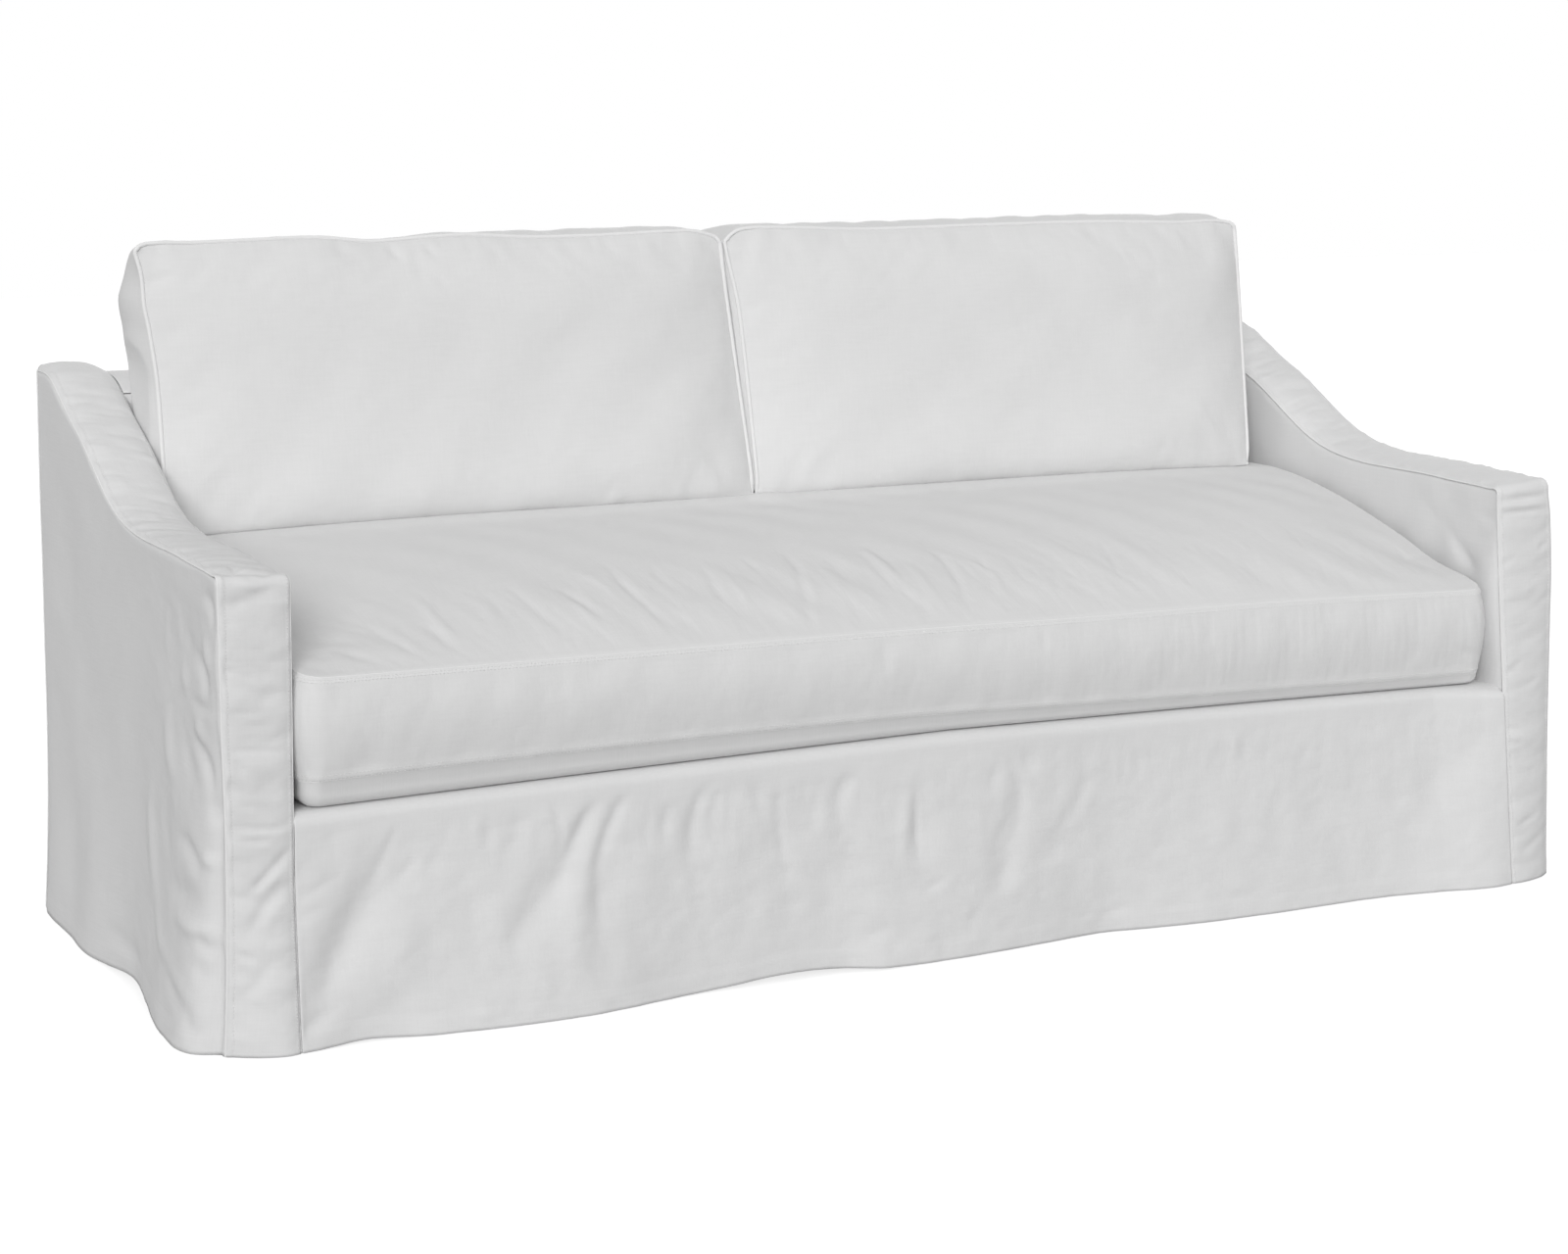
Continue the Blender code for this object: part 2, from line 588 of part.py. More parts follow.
def boxed_cushion(name, plan, face_a, face_b, bulge, rows, limit):
    """A filled cushion: two crowned faces on one plan grid, and a boxing that bulges between them.

    plan holds the grid's places in the plane of the faces.  face_a, face_b and limit turn such a
    place into a point of the solid.  Returns the object and the border numbers of face a.
    """
    count_i, count_j = plan.shape[:2]
    count = count_i * count_j
    points = [face_a(*place) for place in plan.reshape(-1, 2)]
    points += [face_b(*place) for place in plan.reshape(-1, 2)]
    faces = grid_faces(count_i, count_j)
    faces += [tuple(reversed(quad)) for quad in grid_faces(count_i, count_j, count)]
    ring = grid_border(count_i, count_j)
    places = plan.reshape(-1, 2)[ring]
    along = np.roll(places, -1, axis=0) - np.roll(places, 1, axis=0)
    outward = np.stack((along[:, 1], -along[:, 0]), axis=1)
    outward /= np.linalg.norm(outward, axis=1)[:, None]
    if np.dot(outward[0], places[0] - places.mean(axis=0)) < 0:
        outward = -outward
    loops = [list(ring)]
    for row in range(1, rows):
        share = row / rows
        loop = []
        for number, direction in zip(ring, outward):
            start = np.array(points[number])
            end = np.array(points[number + count])
            shift = bulge(direction, start) * math.sin(math.pi * share)
            loop.append(len(points))
            points.append(limit(start + share * (end - start) + shift))
        loops.append(loop)
    loops.append([number + count for number in ring])
    size = len(ring)
    for upper, lower in zip(loops, loops[1:]):
        for k in range(size):
            after = (k + 1) % size
            faces.append((upper[after], upper[k], lower[k], lower[after]))
    return add_solid(name, [limit(np.array(point)) for point in points], faces), ring


def seat_cushion():
    x_ends = (SEAT_X[0], SEAT_X[-1])
    y_ends = (SEAT_Y[0], SEAT_Y[-1])
    plan = np.array([[round_corner(x, y, x_ends, y_ends, SEAT_CORNER) for y in SEAT_Y]
                     for x in SEAT_X])

    def top(x, y):
        seam = smooth_value(SEAT_SEAMS, x, 1)
        inward = min(1.0, min(x - x_ends[0], x_ends[1] - x) / SEAT_END_RISE)
        near_end = (1.0 - max(0.0, inward)) ** 2
        share = smooth_value(SEAT_RISES, y, 1) * (1 - near_end)
        share += smooth_value(SEAT_RISES, y, 2) * near_end
        return (x, y, seam + (SEAT_LEVEL - seam) * min(1.0, share))

    def bottom(x, y):
        seam = smooth_value(SEAT_SEAMS, x, 2)
        rest = deck_z(x) + GAP
        u = max(0.0, 1.0 - min(x - x_ends[0], x_ends[1] - x) / SEAT_ROLL)
        v = max(0.0, 1.0 - min(y - y_ends[0], y_ends[1] - y) / SEAT_ROLL)
        drop = math.sqrt(1.0 - min(1.0, u * u + v * v))
        return (x, y, seam - (seam - rest) * drop)

    def bulge(direction, start):
        return np.array((direction[0], direction[1], 0.0)) * SEAT_BULGE

    return boxed_cushion("seat_cushion", plan, top, bottom, bulge, 3, lambda point: point)


def back_cushion(side):
    outline = CUSHION_OUTLINES[side]

    def ends(z):
        return smooth_value(outline.left, z), smooth_value(outline.right, z)

    def place(column, row):
        left, right = ends(BACK_LOW + row * (SPLIT_Z - BACK_LOW))
        high = smooth_value(outline.top, left + column * (right - left))
        width = right - left
        height = high - BACK_LOW
        a, b = round_corner(column * width, row * height, (0.0, width), (0.0, height), BACK_CORNER)
        return (left + a, BACK_LOW + b)

    plan = np.array([[place(column, row) for row in BACK_ROWS] for column in BACK_COLS])

    def shares(x, z):
        left, right = ends(z)
        across = min(max((x - left) / (right - left), 0.0), 1.0)
        up = (z - BACK_LOW) / (smooth_value(outline.top, x) - BACK_LOW)
        return across, min(max(up, 0.0), 1.0)

    def crown(across, up):
        return ((1 - abs(2 * across - 1) ** 4) * (1 - abs(2 * up - 1) ** 4)) ** 0.75

    def front_seam(z):
        return BACK_SEAM_LOW_Y + BACK_SEAM_LEAN * (z - BACK_LOW)

    def front(x, z):
        return (x, front_seam(z) - BACK_CROWN_FRONT * crown(*shares(x, z)), z)

    def rear(x, z):
        across, up = shares(x, z)
        y = inside_back_y(z) - 0.010 + BACK_CROWN_REAR * crown(across, up)
        x += outline.rear_right * across ** 3 + outline.rear_left * (1 - across) ** 3 * up ** 8
        return (x, y, z - BACK_REAR_DROP * up)

    def bulge(direction, start):
        """Boxing is flat at the corners and swells along the sides."""
        x, _, z = start
        across, up = shares(x, z)
        from_corner = min(1.0, min(up, 1 - up) / 0.18)
        side_swell = BACK_SIDE_BULGE * from_corner * abs(direction[0])
        top_swell = smooth_value(outline.top, x, 2) * max(0.0, direction[1])
        return np.array((direction[0] * side_swell, 0.0, direction[1] * top_swell))

    def limit(point):
        x, y, z = point
        z = max(z, SEAT_LEVEL + GAP)
        split = SPLIT_X + SPLIT_LEAN * (z - SPLIT_Z)
        if side == "left":
            x = min(x, split - GAP / 2)
        else:
            x = max(x, split + GAP / 2)
        room = ARM_IN - ARM_ROOM + 0.6 * max(0.0, z - BACK_RELIEF_Z)
        x = min(max(x, -room), room)
        y = min(y, inside_back_y(z) - GAP + 1.2 * max(0.0, z - BACK_RELIEF_Z))
        return (x, y, z)

    return boxed_cushion("back_cushion_" + side, plan, front, rear, bulge, 3, limit)


def add_welt(name, cushion, ring):
    """Round piping that follows a cushion's front seam."""
    mesh = cushion.data
    spots = [mesh.vertices[number].co + mesh.vertices[number].normal * (WELT_RADIUS + GAP)
             for number in ring]
    size = len(spots)
    points = []
    for k, spot in enumerate(spots):
        tangent = (spots[(k + 1) % size] - spots[k - 1]).normalized()
        inward = -mesh.vertices[ring[k]].normal
        inward = (inward - tangent * inward.dot(tangent)).normalized()
        across = tangent.cross(inward)
        for step in range(WELT_SIDES):
            turn = (step + 0.5) * 2 * math.pi / WELT_SIDES
            offset = inward * math.cos(turn) + across * math.sin(turn)
            points.append(tuple(spot + offset * WELT_RADIUS))
    faces = []
    for k in range(size):
        for step in range(WELT_SIDES):
            here = k * WELT_SIDES
            there = ((k + 1) % size) * WELT_SIDES
            after = (step + 1) % WELT_SIDES
            faces.append((here + step, here + after, there + after, there + step))
    return add_solid(name, points, faces, PIPING)


# ---------------------------------------------------------------------------------------------

def centre_footprint():
    """Moves everything so that the box round the part stands centred on the origin."""
    meshes = [part.data for part in bpy.context.scene.objects if part.type == "MESH"]
    every = np.array([vertex.co for mesh in meshes for vertex in mesh.vertices])
    low = every.min(axis=0)
    high = every.max(axis=0)
    shift = Vector((-(low[0] + high[0]) / 2, -(low[1] + high[1]) / 2, -low[2]))
    for mesh in meshes:
        for vertex in mesh.vertices:
            vertex.co += shift
        mesh.update()


def main():
    for leftover in list(bpy.data.objects):
        bpy.data.objects.remove(leftover, do_unlink=True)
    outer_path = arm_path(0.0)
    inner_path = arm_path(INNER_DROP)
    for side, word, lifts in ((-1, "left", LEFT_LIFTS), (1, "right", NO_LIFTS)):
        outside_arm("outside_arm_" + word, side, outer_path, lifts)
        arm_band("arm_band_" + word, side, outer_path, inner_path)
        inside_arm("inside_arm_" + word, side, inner_path)
    front_apron()
    deck()
    inside_back()
    back_top(inner_path)
    outside_back(outer_path, inner_path)
    seat_cushion()
    for side in ("left", "right"):
        cushion, ring = back_cushion(side)
        add_welt("back_welt_" + side, cushion, ring)
    centre_footprint()


main()
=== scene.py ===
"""Look of a white cotton slipcover set: fine cloth, seams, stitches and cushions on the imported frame."""
import math
from collections import namedtuple
from functools import reduce

import bpy
import numpy as np
from mathutils import Matrix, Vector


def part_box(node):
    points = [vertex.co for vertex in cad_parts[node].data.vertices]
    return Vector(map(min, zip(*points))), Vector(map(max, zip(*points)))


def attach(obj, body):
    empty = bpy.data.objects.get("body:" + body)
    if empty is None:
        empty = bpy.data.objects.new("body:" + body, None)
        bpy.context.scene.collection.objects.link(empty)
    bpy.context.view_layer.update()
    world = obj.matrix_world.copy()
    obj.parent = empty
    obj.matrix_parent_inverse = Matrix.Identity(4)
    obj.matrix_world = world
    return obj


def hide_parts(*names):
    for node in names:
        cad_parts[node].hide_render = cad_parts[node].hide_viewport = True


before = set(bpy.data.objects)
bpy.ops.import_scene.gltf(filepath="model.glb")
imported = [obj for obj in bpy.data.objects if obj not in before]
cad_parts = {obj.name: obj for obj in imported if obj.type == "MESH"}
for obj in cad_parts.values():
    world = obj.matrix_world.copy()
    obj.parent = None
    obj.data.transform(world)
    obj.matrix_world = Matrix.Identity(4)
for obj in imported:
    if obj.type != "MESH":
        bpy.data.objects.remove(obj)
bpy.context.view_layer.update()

# Sizes of the cover in metres, as the frame has them
WIDTH = 2.1
DEPTH = 0.845
ARM_WIDTH = 0.093
ARM_HEIGHT = 0.607
INNER_DROP = 0.006
GAP = 0.0003
SEAM_STEP = 0.0023
CORNER_BEND = 0.012
RAIL_BEND = 0.018
APRON_LAP = 0.075
BACK_RAKE = math.radians(7.3)
PANEL_TUCK = 0.012
CLOTH = 0.0012

FRONT = -DEPTH / 2
BACK = DEPTH / 2
ARM_OUT = WIDTH / 2
ARM_IN = ARM_OUT - ARM_WIDTH
APRON_BACK = FRONT + RAIL_BEND + APRON_LAP

DECK_LOW, DECK_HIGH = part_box("deck")
SHIFT = np.array(((DECK_LOW[0] + DECK_HIGH[0]) / 2, DECK_LOW[1] - APRON_BACK - GAP, 0.0))

# The scooped arm top: y, z
ARM_TOP = (
    (FRONT + CORNER_BEND, ARM_HEIGHT), (-0.375, 0.6095), (-0.31, 0.6115), (-0.24, 0.6145), (-0.16, 0.615),
    (-0.09, 0.6165), (-0.03, 0.6225), (0.015, 0.632), (0.062, 0.649), (0.109, 0.673), (0.15, 0.696),
    (0.2, 0.722), (0.25, 0.7435), (0.3126, 0.775), (0.345, 0.79), (0.375, 0.7965), (BACK, 0.798),
)
BACK_EDGE_Y = ARM_TOP[-4][0]
BACK_EDGE_Z = ARM_TOP[-4][1] - INNER_DROP

# The deck across the seat: x, z
DECK_LINES = ((-ARM_IN, 0.301), (-0.6, 0.307), (0.0, 0.3145), (0.5, 0.308), (ARM_IN, 0.3))


def metres(*rows):
    """Rows of a table given in millimetres."""
    return tuple(tuple(value / 1000 for value in row) for row in rows)


# How far each hem stands out: place along the hem, distance
FRONT_HEM = metres(
    (-1060, -12.5), (-1047, -11), (-1000, 12.5), (-965, 19.5), (-860, 8.5), (-760, 24.5), (-650, 35.5),
    (-540, 32.5), (-420, 12.5), (-300, 8), (-180, 8), (-120, 22.5), (0, 20.5), (135, 9.5), (240, -1),
    (330, 10.5), (420, 21.5), (600, 24.5), (700, 22.5), (810, 34.5), (915, 54.5), (990, 43), (1030, 30),
    (1060, 12)
)
LEFT_HEM = (
    (-0.41, -0.003), (-0.395, 0.022), (-0.371, 0.037), (-0.333, 0.043), (-0.245, 0.036), (-0.16, 0.022),
    (-0.05, 0.009), (0.06, 0.015), (0.15, 0.023), (0.25, 0.016), (0.38, 0.013), (BACK, 0.005),
)
RIGHT_HEM = (
    (-0.435, 0.003), (-0.4, 0.01), (-0.333, 0.022), (-0.245, 0.036), (-0.15, 0.04), (-0.05, 0.024),
    (0.05, 0.013), (0.15, 0.022), (0.25, 0.034), (0.35, 0.02), (BACK, 0.006),
)
BACK_HEM = metres(
    (-1060, 2), (-880, 14), (-640, 3), (-420, 16), (-160, 5), (100, 18), (360, 4), (620, 15), (860, 5),
    (1060, 2)
)
HEM_POWER = 1.15
NEAR_FRONT = 0.12
# How high a hem's wave reaches: x, height
FRONT_REACH = (
    (-ARM_OUT, 0.3), (-ARM_IN, 0.22), (-0.88, 0.3), (0.84, 0.31), (0.92, 0.45), (ARM_IN, 0.62),
    (ARM_OUT, 0.62),
)
SIDE_REACH = 0.52
SIDE_POWER = 1.3
BACK_REACH = 0.45
# How far the outside arms stand out: z, left, right
ARM_SWELL = metres(
    (0, 1, -2), (100, -2, 1), (200, -3, 4), (300, -2, 8), (400, 0, 11.5), (470, 1, 13.5), (550, 2, 11),
    (610, 3, 4), (800, 4, 3)
)
# Where a hem is lifted: place along the hem, spread, height
FRONT_LIFTS = metres((-250, 110, 9), (-870, 50, 3))
LEFT_LIFTS = metres((-60, 110, 12))
# How far the arm bands are crowned: y, height
BAND_CROWNS = ((FRONT, 0.004), (-0.3, 0.006), (0.0, 0.007), (0.25, 0.008), (BACK, 0.012))
BAND_COLUMNS = (0.001, 0.0025, 0.005, 0.0072, 0.009, 0.0108)
BAND_STITCHES = (0.009, ARM_WIDTH - 0.005)

# The seat cushion
SEAT_LEFT = -0.945
SEAT_RIGHT = 0.937
SEAT_BACK = 0.243
SEAT_CORNER = 0.03
SEAT_BULGE = 0.009
SEAT_LEVEL = 0.578
SEAT_END_RISE = 0.45
SEAT_ROLL = 0.03
SEAT_BOX = 0.135
SEAT_DEPTH = 0.13
SEAT_COLUMNS = (0.002, 0.005, 0.009, 0.014)
# Its seams: x, z of the upper one, z of the lower one
SEAT_SEAMS = metres(
    (-945, 472, 338), (-690, 470, 342), (-114, 466, 343), (200, 461, 335), (540, 458, 326), (937, 448, 318)
)
# How its top rises: y, share in the middle, share at the ends
SEAT_RISES = (
    (FRONT, 0.0, 0.0), (-0.408, 0.08, 0.03), (-0.37, 0.25, 0.11), (-0.325, 0.42, 0.17),
    (-0.285, 0.55, 0.25), (-0.228, 0.7, 0.41), (-0.164, 0.83, 0.56), (-0.1, 0.92, 0.7), (-0.03, 0.98, 0.83),
    (0.05, 1.0, 0.94), (0.13, 1.0, 1.0), (0.21, 1.0, 1.0), (0.232, 0.8, 0.8), (0.243, 0.45, 0.45),
)

# The back cushions
BACK_LOW = 0.5845
BACK_CORNER = 0.011
BACK_BOX = 0.12
BACK_SEAM_LOW_Y = 0.15
BACK_SEAM_LEAN = 0.1125
BACK_CROWN_FRONT = 0.045
BACK_CROWN_REAR = 0.024
BACK_REAR_DROP = 0.006
BACK_SIDE_BULGE = 0.017
BACK_RELIEF_Z = 0.825
SPLIT_X = -0.053
SPLIT_Z = 0.984
SPLIT_LEAN = -0.092
ARM_ROOM = 0.0025
WELT_RADIUS = 0.0032
# Their side edges: z, x
LEFT_END = metres((580, -944), (780, -947), (860, -955), (900, -961), (942, -963), (990, -973))
RIGHT_END = metres((580, 906), (800, 905), (900, 904), (990, 902))
LEFT_SPLIT = metres((580, -19.8), (900, -51.8), (990, -57.5))
RIGHT_SPLIT = metres((580, -11.2), (860, -29), (950, -43.5), (990, -49.5))
# Their top seams: x, z, how far the boxing swells above
LEFT_TOP = metres(
    (-975, 982, 1), (-950, 989, 1), (-880, 989, 1), (-790, 991, 1), (-700, 992, 1), (-620, 985, 1),
    (-540, 989, 2), (-470, 991, 4), (-380, 986, 9), (-270, 986, 10), (-120, 990, 7), (-90, 987, 5),
    (-50, 975, 2)
)
RIGHT_TOP = metres(
    (-45, 977, 2), (-20, 990, 3), (40, 992, 5), (200, 986, 11), (420, 988, 11), (640, 989, 12),
    (790, 985, 13), (865, 986, 11), (905, 980, 4)
)
Outline = namedtuple("Outline", "left right top rear_right rear_left to_split seed folds")


# ---- Curves and fields ----

def smooth(table, where, column=1):
    """Values of a table's column along its first column, on one smooth curve."""
    data = np.array(table, float)
    xs, ys = data[:, 0], data[:, column]
    where = np.clip(np.asarray(where, float), xs[0], xs[-1])
    i = np.clip(np.searchsorted(xs, where) - 1, 0, len(xs) - 2)
    low = np.maximum(np.arange(len(xs)) - 1, 0)
    high = np.minimum(np.arange(len(xs)) + 1, len(xs) - 1)
    slope = (ys[high] - ys[low]) / (xs[high] - xs[low])
    span = xs[i + 1] - xs[i]
    u = (where - xs[i]) / span
    return (ys[i] * (1 - u) ** 2 * (1 + 2 * u) + ys[i + 1] * u * u * (3 - 2 * u)
            + span * slope[i] * u * (1 - u) ** 2 - span * slope[i + 1] * u * u * (1 - u))


def straight(table, where):
    return np.interp(where, *np.array(table, float).T)


def ease(value, low, high):
    """0 below low, 1 above high, smooth between."""
    u = np.clip((np.asarray(value, float) - low) / (high - low), 0.0, 1.0)
    return u * u * (3 - 2 * u)


def band(value, low, full, end, high):
    """1 between full and end, 0 outside low and high, smooth between."""
    return ease(value, low, full) * (1 - ease(value, end, high))


def least(*values):
    return reduce(np.minimum, values)


def edges(values, low=0.0, high=1.0):
    """Distance from the nearer of two ends."""
    return np.minimum(values - low, high - values)


def unit(vectors):
    return vectors / np.maximum(np.linalg.norm(vectors, axis=-1, keepdims=True), 1e-12)


def lengths(points):
    """Length of a line up to each of its points."""
    return np.concatenate(((0.0,), np.cumsum(np.linalg.norm(np.diff(points, axis=0), axis=1))))


def grid(x, y, z):
    return np.stack(np.broadcast_arrays(x, y, z), axis=-1)


def fade(height, reach, power):
    return np.maximum(0.0, 1.0 - height / reach) ** power


def lift(lifts, where, height, full_height):
    at_hem = sum(rise * np.exp(-((where - at) / spread) ** 2) for at, spread, rise in lifts)
    return at_hem * np.maximum(0.0, 1.0 - height / full_height)


def deck_z(x):
    return straight(DECK_LINES, x)


def inside_back_y(z):
    return BACK_EDGE_Y - (BACK_EDGE_Z - z) * math.tan(BACK_RAKE)


def near_front(y):
    return np.maximum(0.0, 1.0 - (y - FRONT - SEAM_STEP) / NEAR_FRONT) ** 2


def front_out(x, z):
    return smooth(FRONT_HEM, x) * fade(z, straight(FRONT_REACH, x), HEM_POWER)


def side_out(side, y, z):
    hem, column = (LEFT_HEM, 1) if side < 0 else (RIGHT_HEM, 2)
    return smooth(hem, y) * fade(z, SIDE_REACH, SIDE_POWER) + smooth(ARM_SWELL, z, column)


def back_out(x, z):
    return smooth(BACK_HEM, x) * fade(z, BACK_REACH, SIDE_POWER)


# A fold runs from one point of a panel to another, bowed sideways by bend times its length.
# out is its height, negative for a trough; lean makes one flank a ridge and the other a trough.
Fold = namedtuple("Fold", "a0 b0 a1 b1 spread out bend lean")


def creases(*rows):
    """Folds from rows in millimetres, with bend and lean left out where they are 0."""
    return tuple(Fold(*(value / 1000 for value in row[:6]), *(tuple(row[6:]) + (0.0, 0.0))[:2])
                 for row in rows)


def folds(a, b, rows):
    """Sum of folds at points (a, b) of a panel, in metres."""
    total = np.zeros(np.shape(a))
    for row in rows:
        run_a, run_b = row.a1 - row.a0, row.b1 - row.b0
        length = math.hypot(run_a, run_b)
        da, db = a - row.a0, b - row.b0
        share = (da * run_a + db * run_b) / length ** 2
        off = (da * run_b - db * run_a) / length
        u = np.clip(share, 0.0, 1.0)
        near = np.exp(-((share - u) * length / row.spread) ** 2)
        body = np.sin(np.pi * np.clip(0.04 + 0.92 * u, 0.0, 1.0)) ** 0.8
        q = (off - row.bend * length * 4 * u * (1 - u)) / row.spread
        total += row.out * near * body * (1 + row.lean * 2 * q) * np.exp(-q * q)
    return total


def ripple(a, b, seed, wave_a, wave_b, count=9):
    """Smooth irregular waves of about unit height, with a mean wave length along each direction."""
    random = np.random.RandomState(seed)
    total = np.zeros(np.shape(a))
    for _ in range(count):
        ka = 2 * math.pi / wave_a * random.uniform(0.55, 1.6) * random.choice((-1, 1))
        kb = 2 * math.pi / wave_b * random.uniform(0.55, 1.6)
        total += np.sin(ka * a + kb * b + random.uniform(0, 2 * math.pi)) * random.uniform(0.6, 1.2)
    return total / math.sqrt(count / 2) / 1.6


def crumple(a, b, seed, size_a, size_b, octaves=3):
    """Uneven gentle dents of about unit height that never repeat."""
    table = np.random.RandomState(seed).uniform(-1.0, 1.0, (97, 97))
    total = np.zeros(np.shape(a))
    for k in range(octaves):
        u, v = a / size_a * 2 ** k + 41.3 + 9.7 * k, b / size_b * 2 ** k + 23.9 + 5.1 * k
        u, v = u + 0.35 * np.sin(v * 1.7 + k), v + 0.35 * np.sin(u * 1.3 + 2 * k)
        i, j = np.floor(u).astype(int), np.floor(v).astype(int)
        fu, fv = u - i, v - j
        fu, fv = fu * fu * (3 - 2 * fu), fv * fv * (3 - 2 * fv)
        corner = [table[(i + m) % 97, (j + n) % 97] for m in (0, 1) for n in (0, 1)]
        total += ((corner[0] * (1 - fv) + corner[1] * fv) * (1 - fu)
                  + (corner[2] * (1 - fv) + corner[3] * fv) * fu) * 0.62 ** k
    return total


def spaced(low, high, step, near=(0.0018, 0.0042, 0.0075, 0.012)):
    """Places from low to high: close together near both ends, about step apart between them."""
    inner_low, inner_high = low + near[-1], high - near[-1]
    count = max(2, int(round((inner_high - inner_low) / step)) + 1)
    middle = np.linspace(inner_low, inner_high, count)
    start = [low] + [low + n for n in near[:-1]]
    end = [high - n for n in near[:-1]][::-1] + [high]
    return np.array(start + list(middle) + end)


# ---- Materials ----

def set_sockets(node, sockets):
    """Sets a node's inputs by name or number, each to a value or to another node's output."""
    for key, value in sockets.items():
        if isinstance(value, bpy.types.NodeSocket):
            node.id_data.links.new(value, node.inputs[key])
        else:
            node.inputs[key].default_value = value


def add_node(tree, kind, sockets=(), **attributes):
    node = tree.nodes.new("ShaderNode" + kind)
    for key, value in attributes.items():
        setattr(node, key, value)
    set_sockets(node, dict(sockets))
    return node


def cotton(name, colour, weave=1.0):
    """Matte cotton canvas: a fine plain weave, thicker threads here and there, faint unevenness."""
    material = bpy.data.materials.new(name)
    material.use_nodes = True
    tree = material.node_tree
    flat = add_node(tree, "UVMap", uv_map="flat").outputs["UV"]

    def noise(scale, detail):
        mapping = add_node(tree, "Mapping", {"Scale": scale, "Vector": flat})
        return add_node(tree, "TexNoise", {"Scale": 1.0, "Detail": detail,
                                           "Vector": mapping.outputs["Vector"]}).outputs["Fac"]

    def combine(kind, first, second):
        return add_node(tree, "Math", {0: first, 1: second}, operation=kind).outputs["Value"]

    slubs = combine("ADD", noise((300.0, 26.0, 1.0), 2.5), noise((22.0, 260.0, 1.0), 2.5))
    cloudy = noise((9.0, 9.0, 1.0), 3.0)
    warp, weft = (add_node(tree, "TexWave", {"Scale": 300.0, "Distortion": 1.2, "Detail": 1.0,
                                             "Detail Scale": 0.6, "Vector": flat},
                           bands_direction=direction).outputs["Fac"] for direction in ("X", "Y"))
    shade = combine("ADD", combine("MULTIPLY", slubs, 0.32), combine("MULTIPLY", cloudy, 0.36))
    tint = add_node(tree, "Mix", data_type="RGBA")
    set_sockets(tint, {0: shade, 6: tuple(c * 0.925 for c in colour) + (1.0,),
                       7: tuple(min(1.0, c * 1.06) for c in colour) + (1.0,)})
    height = combine("ADD", combine("MULTIPLY", combine("MULTIPLY", warp, weft), 0.35), slubs)
    bump = add_node(tree, "Bump", {"Strength": 0.3 * weave, "Distance": 0.0006, "Height": height})
    set_sockets(tree.nodes["Principled BSDF"], {
        "Roughness": 0.92, "Specular IOR Level": 0.25, "Sheen Weight": 0.12, "Sheen Roughness": 0.6,
        "Base Color": tint.outputs[2], "Normal": bump.outputs["Normal"]})
    return material


COTTON = cotton("cotton_canvas", (0.715, 0.715, 0.716))
CUSHION_COTTON = cotton("cotton_canvas_cushions", (0.715, 0.715, 0.715))
PIPING = cotton("cotton_piping", (0.785, 0.785, 0.784), 0.6)
THREAD = cotton("cotton_thread", (0.775, 0.775, 0.772), 0.3)


# ---- Meshes ----


def normals_of(face, outward):
    """Unit normals of a grid of points, on the side where outward points."""
    normal = unit(np.cross(np.gradient(face, axis=0), np.gradient(face, axis=1)))
    return normal if (normal * np.asarray(outward)).sum() >= 0 else -normal


def grid_quads(rows, columns, offset=0):
    first = (np.arange(rows - 1)[:, None] * columns + np.arange(columns - 1)[None]).ravel() + offset
    return np.stack((first, first + 1, first + columns + 1, first + columns), axis=1)


def grid_ring(rows, columns):
    """Numbers of a grid's border points, in order."""
    return np.concatenate((
        np.arange(columns), np.arange(1, rows) * columns + columns - 1,
        (rows - 1) * columns + np.arange(columns - 2, -1, -1), np.arange(rows - 2, 0, -1) * columns))


def add_object(name, data):
    thing = bpy.data.objects.new(name, data)
    bpy.context.scene.collection.objects.link(thing)
    return thing


def make_piece(name, points, faces, uv, material, slot="cotton", nodes=()):
    """One mesh piece in the frame's place, riding on the frame; uv is for its points or its corners."""
    mesh = bpy.data.meshes.new(name)
    mesh.from_pydata((points + SHIFT).tolist(), [], faces.tolist())
    mesh.update()
    if len(uv) == len(points):
        corner = np.empty(len(mesh.loops), int)
        mesh.loops.foreach_get("vertex_index", corner)
        uv = uv[corner]
    mesh.uv_layers.new(name="flat").data.foreach_set("uv", uv.astype(np.float32).ravel())
    mesh.shade_smooth()
    mesh.materials.append(material)
    piece = add_object(name, mesh)
    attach(piece, "root")
    if nodes:
        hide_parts(*nodes)
    return piece


def signed_volume(points, quads):
    a, b, c, d = (points[quads[:, k]] for k in range(4))
    return ((a * np.cross(b, c)).sum() + (a * np.cross(c, d)).sum()) / 6


def cloth_piece(name, face, outward):
    """A thin closed sheet of cloth whose visible side is a grid of points, in a CAD node's place."""
    rows, columns = face.shape[:2]
    count = rows * columns
    back = face - normals_of(face, outward) * CLOTH
    points = np.concatenate((face.reshape(-1, 3), back.reshape(-1, 3)))
    ring = grid_ring(rows, columns)
    after = np.roll(ring, -1)
    quads = np.concatenate((
        grid_quads(rows, columns), grid_quads(rows, columns, count)[:, ::-1],
        np.stack((after, ring, ring + count, after + count), axis=1)))
    if signed_volume(points, quads) < 0:
        quads = quads[:, ::-1]
    along = np.linalg.norm(np.diff(face, axis=1, prepend=face[:, :1]), axis=2).cumsum(axis=1)
    up = np.linalg.norm(np.diff(face, axis=0, prepend=face[:1]), axis=2).cumsum(axis=0)
    uv = np.stack((along.ravel(), up.ravel()), axis=1)
    make_piece(name, points, quads, np.concatenate((uv, uv)), COTTON, nodes=(name,))


